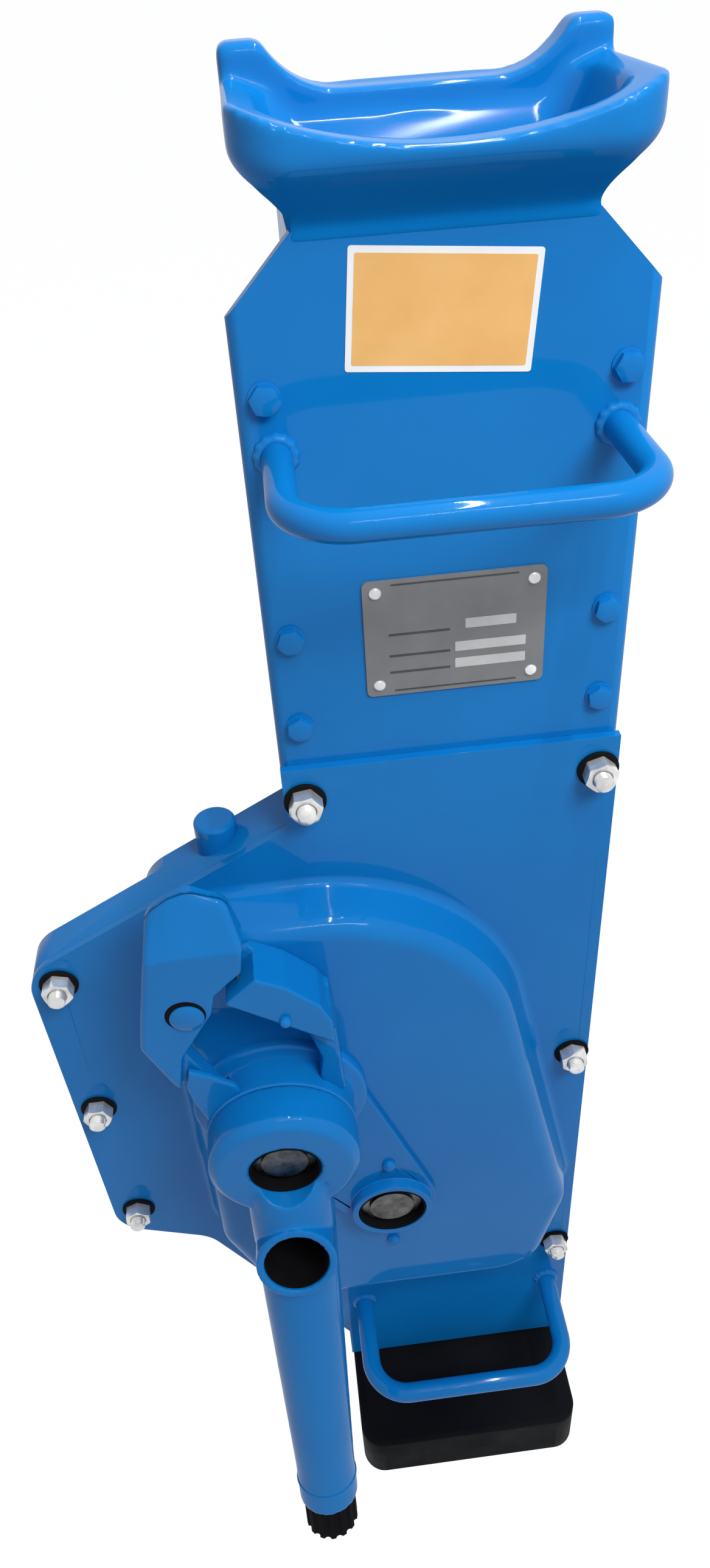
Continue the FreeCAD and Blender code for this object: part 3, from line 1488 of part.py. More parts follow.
def handle(label, face_out, height):
    rod = new_body(label)
    half_span = half_width - size.handle_inset
    path = top_sketch(rod, "path", height)
    outline(path, [
        (-half_span, -1 * face_out),
        (-half_span, -1 * face_out - size.handle_reach, size.handle_bend),
        (half_span, -1 * face_out - size.handle_reach, size.handle_bend),
        (half_span, -1 * face_out),
    ], closed=False)
    section = front_sketch(rod, "section", face_out)
    circle(section, -half_span, height, size.handle_rod / 2)
    bent = rod.newObject("PartDesign::AdditivePipe", f"{label}_pipe")
    bent.Profile = section
    bent.Spine = path
    doc.recompute()


handle("upper_handle", front_out, neck_z - size.upper_handle_drop)
handle("lower_handle", cover_out, body_bottom + size.lower_handle_rise)

# Cover studs with nuts and washers

studs = []
nuts = []
washers = []
stud_hole = size.stud_diameter + 2 * size.shaft_fit
nut_out = cover_out + size.washer_thick
for index, (x, z) in enumerate(STUDS):
    hold_length = size.wall if index < SHELL_STUDS else size.stud_hold
    stud_length = hold_length + size.cover_thick + size.stud_proud
    studs.append(cylinder(f"stud_{index}", size.stud_diameter, stud_length, x, front_out - hold_length, z))
    washers.append(ring(f"washer_{index}", size.washer_diameter, stud_hole, size.washer_thick,
                        x, cover_out, z))
    nut_blank = prism(f"nut_blank_{index}", size.nut_flats, size.nut_height, x, nut_out, z)
    nut_bore = cylinder(f"nut_bore_{index}", stud_hole, size.nut_height, x, nut_out, z)
    nuts.append(cut(f"nut_{index}", nut_blank, nut_bore))
keep(group("cover_studs", studs), "cover_studs")
keep(group("cover_nuts", nuts), "cover_nuts")
keep(group("cover_washers", washers), "cover_washers")

# Painted bolts of the upper housing

bolts = []
for index, (x, z) in enumerate(BOLTS):
    bolt_head = prism(f"bolt_head_{index}", size.bolt_flats, size.bolt_head, x, front_out, z)
    bolt_shank = cylinder(f"bolt_shank_{index}", size.bolt_diameter, size.wall, x, inside_out, z)
    bolts.append(fuse(f"bolt_{index}", [bolt_head, bolt_shank]))
keep(group("body_bolts", bolts), "body_bolts")

# Blank name plate with four rivets

plate = new_body("name_plate")
half_plate = size.plate_width / 2
half_plate_height = size.plate_height / 2
plate_z = seam_z + size.plate_rise
sketch = front_sketch(plate, "outline", front_out)
outline(sketch, [
    (size.plate_aside + side * half_plate, plate_z + rise * half_plate_height,
     size.plate_rivet_inset / 2)
    for side, rise in ((1, -1), (1, 1), (-1, 1), (-1, -1))
])
rivet_x = half_plate - size.plate_rivet_inset
rivet_z = half_plate_height - size.plate_rivet_inset
RIVETS = [
    (size.plate_aside + side * rivet_x, plate_z + rise * rivet_z)
    for side in (-1, 1)
    for rise in (-1, 1)
]
for x, z in RIVETS:
    circle(sketch, x, z, size.plate_rivet / 4 + size.shaft_fit)
pad(plate, sketch, size.plate_thick)
keep(group("plate_rivets", [
    rivet(f"plate_rivet_{index}", size.plate_rivet / 2, size.plate_rivet, size.plate_thick, size.plate_thick,
          x, front_out + size.plate_thick, z)
    for index, (x, z) in enumerate(RIVETS)
]), "plate_rivets")

# Plug on the sloping top of the gear case

plug = new_body("case_plug")
plug_reach = size.crank_reach + size.plug_side
plug_z = case_slope_top - (plug_reach - half_width) * case_slope
plug_low = plug_z - size.plug_diameter * case_slope
plug_top = plug_z + size.plug_height
sketch = top_sketch(plug, "outline", plug_low)
circle(sketch, -plug_reach, -1 * case_back_out - size.plug_diameter / 2, size.plug_diameter / 2)
pad(plug, sketch, plug_top - plug_low)
round_edges(plug, size.plug_rounding, lambda edge: near(middle_of(edge).z, plug_top))
sketch = front_sketch(plug, "seat", front_out)
outline(sketch, [
    (-half_width, case_slope_top),
    (-case_reach, case_top),
    (-case_reach, case_low),
    (-half_width, case_low),
])
pocket(plug, sketch, size.case_depth)

# Export

doc.recompute()
for item in doc.Objects:
    if "Invalid" in item.State or "Error" in item.State:
        raise RuntimeError(f"{item.Name} did not build")
os.makedirs("parts", exist_ok=True)
for piece in nodes:
    if piece.Shape.isNull() or not piece.Shape.isValid():
        raise RuntimeError(f"{piece.Label} has no valid shape")
    piece.Shape.exportStep(f"parts/{piece.Label}.step")
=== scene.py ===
import bmesh
import bpy
import json
import math
from mathutils import Matrix, Vector


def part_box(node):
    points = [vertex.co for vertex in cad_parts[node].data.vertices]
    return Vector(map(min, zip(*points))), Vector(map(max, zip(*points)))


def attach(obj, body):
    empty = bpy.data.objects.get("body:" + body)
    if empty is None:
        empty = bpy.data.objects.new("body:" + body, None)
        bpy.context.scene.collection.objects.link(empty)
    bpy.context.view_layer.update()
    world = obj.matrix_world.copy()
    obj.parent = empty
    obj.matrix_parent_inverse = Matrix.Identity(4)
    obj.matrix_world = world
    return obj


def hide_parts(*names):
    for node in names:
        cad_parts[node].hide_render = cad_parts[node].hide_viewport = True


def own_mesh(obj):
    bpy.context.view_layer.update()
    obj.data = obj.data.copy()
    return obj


# Rack and pinion jack: looks around its frame, +Z up, the crank side faces -Y.
# The frame, the floor and the lights are in metres, and the pieces of the jack in millimetres.
# "out" is a distance in front of the middle plane, so a point at "out" has y = -out.

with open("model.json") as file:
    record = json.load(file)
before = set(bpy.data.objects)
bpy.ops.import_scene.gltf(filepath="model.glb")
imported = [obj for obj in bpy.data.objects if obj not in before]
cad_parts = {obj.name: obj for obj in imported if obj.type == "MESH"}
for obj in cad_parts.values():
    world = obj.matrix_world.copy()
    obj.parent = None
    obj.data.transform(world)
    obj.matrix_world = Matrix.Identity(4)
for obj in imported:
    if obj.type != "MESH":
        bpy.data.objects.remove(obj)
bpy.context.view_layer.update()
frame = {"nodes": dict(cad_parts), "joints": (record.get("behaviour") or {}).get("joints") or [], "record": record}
nodes = frame["nodes"]
scene = bpy.context.scene
MM = 0.001


# Materials

class Recipe:
    """A material with its node tree and its principled shader."""

    def __init__(self, name):
        self.material = bpy.data.materials.new(name)
        self.material.use_nodes = True
        self.tree = self.material.node_tree
        self.shader = self.tree.nodes["Principled BSDF"]

    def node(self, kind, **values):
        made = self.tree.nodes.new(kind)
        for socket, value in values.items():
            made.inputs[socket.replace("_", " ")].default_value = value
        return made

    def link(self, source, target):
        self.tree.links.new(source, target)

    def set(self, **values):
        for socket, value in values.items():
            self.shader.inputs[socket.replace("_", " ")].default_value = value

    def place(self):
        return self.node("ShaderNodeTexCoord").outputs["Object"]

    def noise(self, scale, detail, roughness=0.5):
        made = self.node("ShaderNodeTexNoise", Scale=scale, Detail=detail, Roughness=roughness)
        self.link(self.place(), made.inputs["Vector"])
        return made.outputs["Fac"]

    def ramp(self, source, *stops):
        """A colour ramp over a value, from stops of (position, colour)."""
        made = self.node("ShaderNodeValToRGB")
        ramp = made.color_ramp
        while len(ramp.elements) < len(stops):
            ramp.elements.new(0.5)
        for element, (position, colour) in zip(ramp.elements, stops):
            element.position = position
            element.color = (*colour, 1.0)
        self.link(source, made.inputs["Fac"])
        return made.outputs["Color"]

    def bump(self, source, strength, distance):
        made = self.node("ShaderNodeBump", Strength=strength, Distance=distance)
        self.link(source, made.inputs["Height"])
        self.link(made.outputs["Normal"], self.shader.inputs["Normal"])


def grey(level):
    return (level, level, level)


DULL_ROUGHNESS = 0.8
DULL_FADE = 8 * MM


def paint(name, low, high, roughness, coat, grain, grain_depth, dull_below=None):
    """Sprayed paint: a slow drift between two tones, a fine orange-peel grain and a clear top coat.

    Below a height in metres, if one is given, the paint is dull with dust.
    """
    recipe = Recipe(name)
    tone = recipe.ramp(recipe.noise(scale=9.0, detail=4.0), (0.35, low), (0.68, high))
    recipe.link(tone, recipe.shader.inputs["Base Color"])
    recipe.bump(recipe.noise(scale=grain, detail=2.0), strength=grain_depth, distance=0.4 * MM)
    recipe.set(Coat_Weight=coat, Coat_Roughness=0.05, Specular_IOR_Level=0.02)
    if dull_below is None:
        wear = recipe.noise(scale=40.0, detail=5.0)
        rough = recipe.ramp(wear, (0.3, grey(roughness)), (0.75, grey(roughness * 1.5)))
    else:
        axes = recipe.node("ShaderNodeSeparateXYZ")
        recipe.link(recipe.place(), axes.inputs["Vector"])
        height = axes.outputs["Z"]
        shiny_above = dull_below + DULL_FADE
        rough = recipe.ramp(height, (dull_below, grey(DULL_ROUGHNESS)), (shiny_above, grey(roughness)))
        clear = recipe.ramp(height, (dull_below, grey(0.0)), (shiny_above, grey(coat)))
        recipe.link(clear, recipe.shader.inputs["Coat Weight"])
    recipe.link(rough, recipe.shader.inputs["Roughness"])
    return recipe.material


def metal(name, low, high, roughness, metallic=1.0):
    """Metal with worn patches and a fine grain."""
    recipe = Recipe(name)
    patches = recipe.noise(scale=110.0, detail=6.0, roughness=0.65)
    recipe.link(recipe.ramp(patches, (0.3, low), (0.72, high)), recipe.shader.inputs["Base Color"])
    wear = recipe.noise(scale=260.0, detail=4.0)
    rough = recipe.ramp(wear, (0.25, grey(roughness * 0.8)), (0.8, grey(roughness * 1.4)))
    recipe.link(rough, recipe.shader.inputs["Roughness"])
    recipe.bump(recipe.noise(scale=900.0, detail=3.0), strength=0.12, distance=0.15 * MM)
    recipe.set(Metallic=metallic)
    return recipe.material


def film(name, low, high, roughness):
    """Printed film: a nearly even tone with a little wear in it."""
    recipe = Recipe(name)
    tone = recipe.ramp(recipe.noise(scale=60.0, detail=5.0), (0.3, low), (0.7, high))
    recipe.link(tone, recipe.shader.inputs["Base Color"])
    recipe.set(Roughness=roughness)
    return recipe.material


BLUE = {
    "low": (0.002, 0.163, 0.48),
    "high": (0.004, 0.187, 0.53),
    "roughness": 0.3,
    "coat": 0.3,
    "grain": 420.0,
    "grain_depth": 0.04,
}
HEAD_DULL_BELOW = 0.766
blue = paint("blue_paint", **BLUE)
head_blue = paint("head_blue_paint", **BLUE, dull_below=HEAD_DULL_BELOW)
black = paint("black_paint", (0.004, 0.0045, 0.006), (0.01, 0.011, 0.013),
              roughness=0.5, coat=0.0, grain=300.0, grain_depth=0.2)
# Black rubber of the grip. The same black also serves as painted shade on the pawl pin's ring, the cover washers
# and the tubes in the hub, the bearing and the cross-hole.
black_rubber_and_shade = paint("black_grip_and_painted_shade", (0.004, 0.004, 0.005), (0.012, 0.012, 0.013),
               roughness=0.55, coat=0.0, grain=500.0, grain_depth=0.25)
zinc = metal("bright_zinc", (0.5, 0.5, 0.49), (0.93, 0.92, 0.9), roughness=0.2, metallic=0.6)
gear_steel = metal("gear_steel", (0.24, 0.24, 0.25), (0.42, 0.42, 0.43), roughness=0.35)
dark_steel = metal("dark_steel", (0.02, 0.02, 0.021), (0.17, 0.17, 0.172), roughness=0.3)
bronze = metal("bronze", (0.36, 0.24, 0.09), (0.56, 0.4, 0.18), roughness=0.35)
plate_metal = film("plate_metal", (0.165, 0.17, 0.175), (0.205, 0.21, 0.215), roughness=0.35)
plate_line = film("plate_line", (0.03, 0.03, 0.032), (0.06, 0.06, 0.062), roughness=0.5)
plate_field = film("plate_field", (0.5, 0.5, 0.49), (0.62, 0.62, 0.61), roughness=0.4)
white_film = film("white_film", (0.84, 0.84, 0.83), (0.90, 0.90, 0.89), roughness=0.4)
amber_film = film("amber_film", (0.80, 0.43, 0.13), (0.86, 0.49, 0.17), roughness=0.4)

FINISHES = {
    "blue_paint": blue,
    "black_paint": black,
    "zinc": zinc,
    "gear_steel": gear_steel,
    "dark_steel": dark_steel,
    "bronze": bronze,
    "plate_metal": plate_metal,
}


def finish_piece(piece, material):
    piece.data.materials.clear()
    piece.data.materials.append(material)


SLOT_OF = {part["node"]: part["material_slot"] for part in frame["record"]["subparts"]}
for name, node in nodes.items():
    finish_piece(node, FINISHES[SLOT_OF[name]])


# Tools for pieces

SHARP_ANGLE = math.radians(38)
WELD_GAP = 0.002 * MM
JOINTS = {joint["name"]: joint for joint in frame["joints"]}


def in_mm(corners):
    """The low and the high corner of a box, from metres to millimetres."""
    return [Vector(corner) / MM for corner in corners]


def axis_of(joint_name):
    """Where a joint's axis stands, as x and z in millimetres."""
    place = JOINTS[joint_name]["pos_m"]
    return place[0] / MM, place[2] / MM


def add_piece(name, bm, body, material, slot, *replaced):
    """Turn a bmesh in millimetres into a piece that rides a body and stands for some nodes."""
    bmesh.ops.scale(bm, verts=bm.verts, vec=(MM, MM, MM))
    bmesh.ops.recalc_face_normals(bm, faces=bm.faces)
    mesh = bpy.data.meshes.new(name)
    bm.to_mesh(mesh)
    bm.free()
    for polygon in mesh.polygons:
        polygon.use_smooth = True
    mesh.set_sharp_from_angle(angle=SHARP_ANGLE)
    piece = bpy.data.objects.new(name, mesh)
    scene.collection.objects.link(piece)
    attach(piece, body)
    if replaced:
        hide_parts(*replaced)
    finish_piece(piece, material)
    return piece


def islands(node_name):
    """The box of each separate solid of a node in millimetres, from left to right."""
    bm = bmesh.new()
    bm.from_mesh(nodes[node_name].data)
    bmesh.ops.remove_doubles(bm, verts=bm.verts, dist=WELD_GAP)
    seen = set()
    boxes = []
    for seed in bm.verts:
        if seed in seen:
            continue
        seen.add(seed)
        island = [seed]
        for vertex in island:
            for edge in vertex.link_edges:
                other = edge.other_vert(vertex)
                if other not in seen:
                    seen.add(other)
                    island.append(other)
        corners = [vertex.co / MM for vertex in island]
        low = Vector([min(corner[axis] for corner in corners) for axis in range(3)])
        high = Vector([max(corner[axis] for corner in corners) for axis in range(3)])
        boxes.append((low, high))
    bm.free()
    return sorted(boxes, key=lambda box: (round(box[0].x), round(box[0].z)))


def turn_profile(bm, x, out, z, profile, segments, closed=False):
    """Turn a profile of (radius, distance ahead) about a line to the front.

    A radius or a distance may be a function of the angle.
    """
    rings = []
    for radius, ahead in profile:
        ring = []
        for step in range(segments):
            turn = 2 * math.pi * step / segments
            reach = radius(turn) if callable(radius) else radius
            advance = ahead(turn) if callable(ahead) else ahead
            spot = (x + reach * math.cos(turn), -out - advance, z + reach * math.sin(turn))
            ring.append(bm.verts.new(spot))
        rings.append(ring)
    pairs = list(zip(rings, rings[1:]))
    if closed:
        pairs.append((rings[-1], rings[0]))
    for first, second in pairs:
        for step in range(segments):
            after = (step + 1) % segments
            bm.faces.new((first[step], second[step], second[after], first[after]))
    if not closed:
        bm.faces.new(rings[0])
        bm.faces.new(rings[-1])


HEXAGON_STEP = math.pi / 3
CHAMFER_SLOPE = math.tan(math.radians(30))
CHAMFER_CIRCLE = 0.48
RIVET_SKIRT = 0.15
RIVET_STEPS = (20, 40, 60, 78)


def hexagon(flats, twist):
    """The radius of a hexagon at an angle."""
    def radius(turn):
        return flats / 2 / math.cos((turn + twist) % HEXAGON_STEP - HEXAGON_STEP / 2)
    return radius


def chamfer(flats, height, twist):
    """The height at which a hexagon's side meets the cone that trims its corners."""
    radius = hexagon(flats, twist)

    def ahead(turn):
        return height - (radius(turn) - CHAMFER_CIRCLE * flats) * CHAMFER_SLOPE
    return ahead


def dome_profile(radius, height):
    """A short straight skirt with a round head on it."""
    profile = [(radius, 0), (radius, RIVET_SKIRT * height)]
    for degrees in RIVET_STEPS:
        angle = math.radians(degrees)
        rise = RIVET_SKIRT + (1 - RIVET_SKIRT) * math.sin(angle)
        profile.append((radius * math.cos(angle), height * rise))
    return profile


def soften(piece, voxel, passes, reshape=None):
    """Give a piece an even mesh and smooth it as a painted casting.

    A reshape, if one is given, moves the mesh's spots before the smoothing.
    """
    even = piece.modifiers.new("even_mesh", "REMESH")
    even.mode = "VOXEL"
    even.voxel_size = voxel * MM
    even.use_smooth_shade = True
    bpy.context.view_layer.update()
    evaluated = piece.evaluated_get(bpy.context.evaluated_depsgraph_get())
    mesh = bpy.data.meshes.new_from_object(evaluated)
    piece.modifiers.clear()
    piece.data = mesh
    if reshape is not None:
        for vertex in mesh.vertices:
            vertex.co = reshape(*(vertex.co / MM)) * MM
    soft = piece.modifiers.new("soften", "SMOOTH")
    soft.factor = 0.5
    soft.iterations = passes


def cast(node_name, body, voxel, passes, reshape=None, extra=None, material=None):
    """A node's shape with its edges softened as in a painted casting.

    An extra bmesh, if one is given, is grown onto the shape.
    """
    mesh = nodes[node_name].data.copy()
    if extra is not None:
        bmesh.ops.recalc_face_normals(extra, faces=extra.faces)
        bmesh.ops.scale(extra, verts=extra.verts, vec=(MM, MM, MM))
        extra.from_mesh(mesh)
        extra.to_mesh(mesh)
        extra.free()
    piece = bpy.data.objects.new(f"{node_name}_cast", mesh)
    scene.collection.objects.link(piece)
    soften(piece, voxel, passes, reshape)
    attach(piece, body)
    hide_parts(node_name)
    finish_piece(piece, material or FINISHES[SLOT_OF[node_name]])


def ease(share):
    """A smooth step from zero to one."""
    share = min(max(share, 0.0), 1.0)
    return share * share * (3 - 2 * share)


def extrude(bm, corners, rear_out, front_out):
    """A prism with its outline given in x and z, between two planes."""
    rear = [bm.verts.new((x, -rear_out, z)) for x, z in corners]
    front = [bm.verts.new((x, -front_out, z)) for x, z in corners]
    bm.faces.new(rear)
    bm.faces.new(front)
    for index in range(len(corners)):
        after = (index + 1) % len(corners)
        bm.faces.new((rear[index], rear[after], front[after], front[index]))


def ease_edges(node_name, width):
    """Break the sharp edges of a node as a coat of paint does."""
    node = nodes[node_name]
    weld = node.modifiers.new("weld", "WELD")
    weld.merge_threshold = WELD_GAP
    bevel = node.modifiers.new("ease", "BEVEL")
    bevel.width = width * MM
    bevel.segments = 2
    bevel.limit_method = "ANGLE"
    bevel.angle_limit = SHARP_ANGLE
    bevel.harden_normals = True


# Castings

NECK_Z = 752.0
HALF_NECK = 49.0
NECK_OUT = 52.5
NECK_SKIN = 0.5
CAD_FLARE = 14.0
SIDE_FLARE = 24.0
LIP_FLARE = 22.0
DISH_Z = 761.0
RIM_LIFT = 4.0
RIM_LIFT_RISE = 22.0
RIM_LIFT_BACK = 10.0
RIM_LIFT_BACK_FADE = 15.0
RIM_LIFT_HALF = 20.0
RIM_LIFT_HALF_FADE = 22.0
COLLAR = 0.35
COLLAR_BELOW = 4.0
COLLAR_ABOVE = 7.0
LEAST_FLARE = 0.01
head_low, head_high = in_mm(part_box("jack_head"))


def swell(amount, start, end, z, rise):
    """Carry a reach from the straight flare of the frame over to a rounder one."""
    if abs(amount) < start:
        return amount
    straight = start + (end - start) * min(max((z - NECK_Z) / CAD_FLARE, 0.0), 1.0)
    rounded = start + (end - start) * ease((z - NECK_Z) / rise)
    if straight - start < LEAST_FLARE:
        return amount
    return math.copysign(start + (abs(amount) - start) * (rounded - start) / (straight - start), amount)


def head_shape(x, y, z):
    """Round the flare of the head and raise the middle of its rear rim."""
    if z < NECK_Z + NECK_SKIN:
        return Vector((x, y, z))
    across = swell(x, HALF_NECK - NECK_SKIN, head_high.x, z, SIDE_FLARE)
    reach = -head_low.y if y < 0 else head_high.y
    above = ease((z - DISH_Z) / RIM_LIFT_RISE)
    behind = ease((y - RIM_LIFT_BACK) / RIM_LIFT_BACK_FADE)
    inside = 1 - ease((abs(x) - RIM_LIFT_HALF) / RIM_LIFT_HALF_FADE)
    lift = RIM_LIFT * above * behind * inside
    return Vector((across, swell(y, NECK_OUT - NECK_SKIN, reach, z, LIP_FLARE), z + lift))


PAWL_TOP_SHARE = 0.9
PAWL_BROW = 36.0
PAWL_FRONT_SLOPE = 0.45
PAWL_FRONT_FADE = 8.0
PAWL_CORNER_START = 0.6
PAWL_CORNER_DROP = 0.35
pawl_x, pawl_z = axis_of("pawl_swing")
pawl_middle = sum(corner[1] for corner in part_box("pawl")) / 2 / MM


def pawl_shape(x, y, z):
    """Lower the top of the pawl, slope its front and drop its left corner."""
    rise = z - pawl_z
    if rise < 0:
        return Vector((x, y, z))
    rise *= PAWL_TOP_SHARE
    corner = max(-x + pawl_x, 0.0) * ease(rise / PAWL_BROW - PAWL_CORNER_START)
    over = max(rise - PAWL_BROW, 0.0)
    setback = over * PAWL_FRONT_SLOPE * ease((pawl_middle - y) / PAWL_FRONT_FADE + 0.5)
    return Vector((x, y + setback, pawl_z + rise - PAWL_CORNER_DROP * corner))


collar = bmesh.new()
collar_half = HALF_NECK + COLLAR
collar_low = NECK_Z - COLLAR_BELOW
collar_high = NECK_Z + COLLAR_ABOVE
extrude(collar, [
    (-collar_half, collar_low),
    (collar_half, collar_low),
    (collar_half, collar_high),
    (-collar_half, collar_high),
], -NECK_OUT - COLLAR, NECK_OUT + COLLAR)
cast("jack_head", "housing", voxel=1.2, passes=14, reshape=head_shape, extra=collar, material=head_blue)
cast("crank_arm", "crank", voxel=1.0, passes=6)
cast("pawl", "pawl", voxel=0.6, passes=8, reshape=pawl_shape)

# Hood with its wedge beside the pawl

hood_low, hood_high = in_mm(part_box("pawl_bracket"))
HOOD_REAR = -hood_high.y
HOOD_FRONT = -hood_low.y
HOOD_RIGHT = hood_high.x
HOOD_BASE_THICK = 5.0
HOOD_WALL_OUT = 96.0
CHEEK_REAR = 97.2
CHEEK_FRONT = 100.6
CHEEK = [
    (-129.0, 419.0),
    (-131.6, 407.5),
    (-129.5, 396.0),
    (-124.8, 380.4),
    (-121.0, 386.0),
    (-114.0, 394.5),
    (-107.0, 400.0),
    (-109.0, 405.0),
    (-120.0, 414.0),
]
WEDGE = [
    (-106.5, 465.0),
    (-92.4, 478.2),
    (-80.0, 471.0),
    (-66.0, 457.0),
    (HOOD_RIGHT, 446.0),
    (HOOD_RIGHT, 432.0),
]
HOOD_WALL = [
    (-68.0, 456.0),
    (HOOD_RIGHT, 448.0),
    (-60.0, 425.0),
    (-58.5, 388.0),
    (-65.0, 388.0),
    (-70.0, 398.0),
    (-68.0, 412.0),
    (-74.0, 436.0),
]
HOOD_BASE = [
    (hood_low.x, 445.0),
    (hood_low.x, 467.0),
    (-94.0, 479.0),
    (HOOD_RIGHT, 450.0),
    (HOOD_RIGHT, 434.0),
]
hood = bmesh.new()
extrude(hood, CHEEK, CHEEK_REAR, CHEEK_FRONT)
extrude(hood, WEDGE, HOOD_REAR, HOOD_FRONT)
extrude(hood, HOOD_WALL, HOOD_REAR, HOOD_WALL_OUT)
extrude(hood, HOOD_BASE, HOOD_REAR, HOOD_REAR + HOOD_BASE_THICK)
hood_piece = add_piece("pawl_hood", hood, "housing", blue, "blue_paint", "pawl_bracket")
soften(hood_piece, voxel=0.7, passes=9)

# Ratchet sleeve with its slot and the ring at its root

SLOT_START = 128.0
SLOT_END = 148.0
SLOT_REAR = 6.3
SLOT_FRONT = 16.2
ROOT_RING = 43.0
SLEEVE_WALL = 4.0
SLEEVE_EDGE = 0.8
crank_x, crank_z = axis_of("crank_spin")
sleeve_low, sleeve_high = in_mm(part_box("crank_sleeve"))
sleeve_radius = (sleeve_high.x - sleeve_low.x) / 2
sleeve_length = sleeve_high.y - sleeve_low.y
sleeve_inside = sleeve_radius - SLEEVE_WALL
sleeve = bmesh.new()
turn_profile(sleeve, crank_x, -sleeve_high.y, crank_z, [
    (sleeve_inside, 0),
    (ROOT_RING, 0),
    (ROOT_RING, 3.2),
    (ROOT_RING - 0.6, 4.3),
    (ROOT_RING - 1.8, 4.9),
    (sleeve_radius + 1.6, 5.0),
    (sleeve_radius + 0.4, 5.5),
    (sleeve_radius, SLOT_REAR),
    (sleeve_radius, SLOT_FRONT),
    (sleeve_radius, sleeve_length - SLEEVE_EDGE),
    (sleeve_radius - SLEEVE_EDGE, sleeve_length),
    (sleeve_inside, sleeve_length),
    (sleeve_inside, SLOT_FRONT),
    (sleeve_inside, SLOT_REAR),
], segments=90, closed=True)


def in_slot(face):
    middle = face.calc_center_median()
    ahead = -middle.y + sleeve_high.y
    angle = math.degrees(math.atan2(middle.z - crank_z, middle.x - crank_x))
    return SLOT_REAR < ahead < SLOT_FRONT and SLOT_START < angle < SLOT_END


slot_faces = [face for face in sleeve.faces if in_slot(face)]
bmesh.ops.delete(sleeve, geom=slot_faces, context="FACES")
slot_rims = [edge for edge in sleeve.edges if edge.is_boundary]
bmesh.ops.bridge_loops(sleeve, edges=slot_rims)
add_piece("ratchet_sleeve", sleeve, "housing", blue, "blue_paint", "crank_sleeve")

# Pawl pin: a flush end, with a black ring round it as painted shadow in the gap, set a little up and left so the
# shadow is widest above the pin

PIN_RADIUS = 5.9
PIN_HEAD = 7.6
PIN_SHADOW_INSIDE = 6.0
PIN_SHADOW_OUTSIDE = 8.9
PIN_SHADOW_LEFT = 0.5
PIN_SHADOW_UP = 1.3
PIN_SHADOW_DEEP = 0.5
PIN_SHADOW_PROUD = 0.15
pin_rear = in_mm(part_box("pawl_pin"))[1].y
pawl_front_out = -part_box("pawl")[0][1] / MM
pin_reach = pawl_front_out + pin_rear
pin_end = bmesh.new()
turn_profile(pin_end, pawl_x, -pin_rear, pawl_z, [
    (PIN_RADIUS, 0),
    (PIN_RADIUS, pin_reach - 0.5),
    (PIN_HEAD, pin_reach - 0.5),
    (PIN_HEAD, pin_reach + 0.8),
    (PIN_HEAD - 0.8, pin_reach + 1.4),
    (3.0, pin_reach + 1.7),
], segments=48)
add_piece("pawl_pin_end", pin_end, "housing", blue, "blue_paint", "pawl_pin")
# Painted shadow: a black ring round the pin end, shifted up so it reads as the shade in the gap above the pin.
pin_shadow_ring = bmesh.new()
turn_profile(pin_shadow_ring, pawl_x - PIN_SHADOW_LEFT, pawl_front_out, pawl_z + PIN_SHADOW_UP, [
    (PIN_SHADOW_INSIDE, -PIN_SHADOW_DEEP),
    (PIN_SHADOW_OUTSIDE, -PIN_SHADOW_DEEP),
    (PIN_SHADOW_OUTSIDE, PIN_SHADOW_PROUD),
    (PIN_SHADOW_INSIDE, PIN_SHADOW_PROUD),
], segments=48, closed=True)
add_piece("pawl_pin_shadow_ring", pin_shadow_ring, "housing", black_rubber_and_shade, "dark_steel")

# Small coil in the gap between pawl and wedge

SPRING_START = Vector((-103.3, -93.3, 474.6))
SPRING_END = Vector((-99.3, -93.3, 471.4))
COIL_RADIUS = 2.1
WIRE_RADIUS = 0.5
COILS = 3
STEPS = 20
AROUND = 8
spring_line = (SPRING_END - SPRING_START).normalized()
spring_side = Vector((0, 1, 0))
spring_up = spring_line.cross(spring_side)
spring = bmesh.new()
wire = []
for step in range(COILS * STEPS + 1):
    turn = 2 * math.pi * step / STEPS
    outward = math.cos(turn) * spring_side + math.sin(turn) * spring_up
    middle = SPRING_START.lerp(SPRING_END, step / (COILS * STEPS)) + COIL_RADIUS * outward
    ring = []
    for corner in range(AROUND):
        angle = 2 * math.pi * corner / AROUND
        aside = math.cos(angle) * outward + math.sin(angle) * spring_line
        ring.append(spring.verts.new(middle + WIRE_RADIUS * aside))
    wire.append(ring)
for first, second in zip(wire, wire[1:]):
    for corner in range(AROUND):
        after = (corner + 1) % AROUND
        spring.faces.new((first[corner], second[corner], second[after], first[after]))
spring.faces.new(wire[0])
spring.faces.new(wire[-1])
coil = add_piece("pawl_coil", spring, "housing", dark_steel, "dark_steel", "pawl_spring")
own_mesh(coil)

# Shorter ribbed tip of the pull-out grip

TIP_ZONE = 16.0
TIP_SHARE = 0.7
TIP_FACE = 1.0
arm_line = Vector(JOINTS["grip_pull"]["axis"]).normalized()
grip_mesh = nodes["crank_grip"].data.copy()
grip_end = max(vertex.co.dot(arm_line) for vertex in grip_mesh.vertices) / MM
end_spots = []
for vertex in grip_mesh.vertices:
    spot = vertex.co / MM
    along = spot.dot(arm_line)
    if grip_end - along < TIP_FACE:
        end_spots.append(spot)
    into = along - (grip_end - TIP_ZONE)
    if into > 0:
        vertex.co = (spot - arm_line * into * (1 - TIP_SHARE)) * MM
grip_piece = bpy.data.objects.new("short_grip", grip_mesh)
scene.collection.objects.link(grip_piece)
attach(grip_piece, "grip")
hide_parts("crank_grip")
finish_piece(grip_piece, black_rubber_and_shade)

# Seam ring near the end of the arm

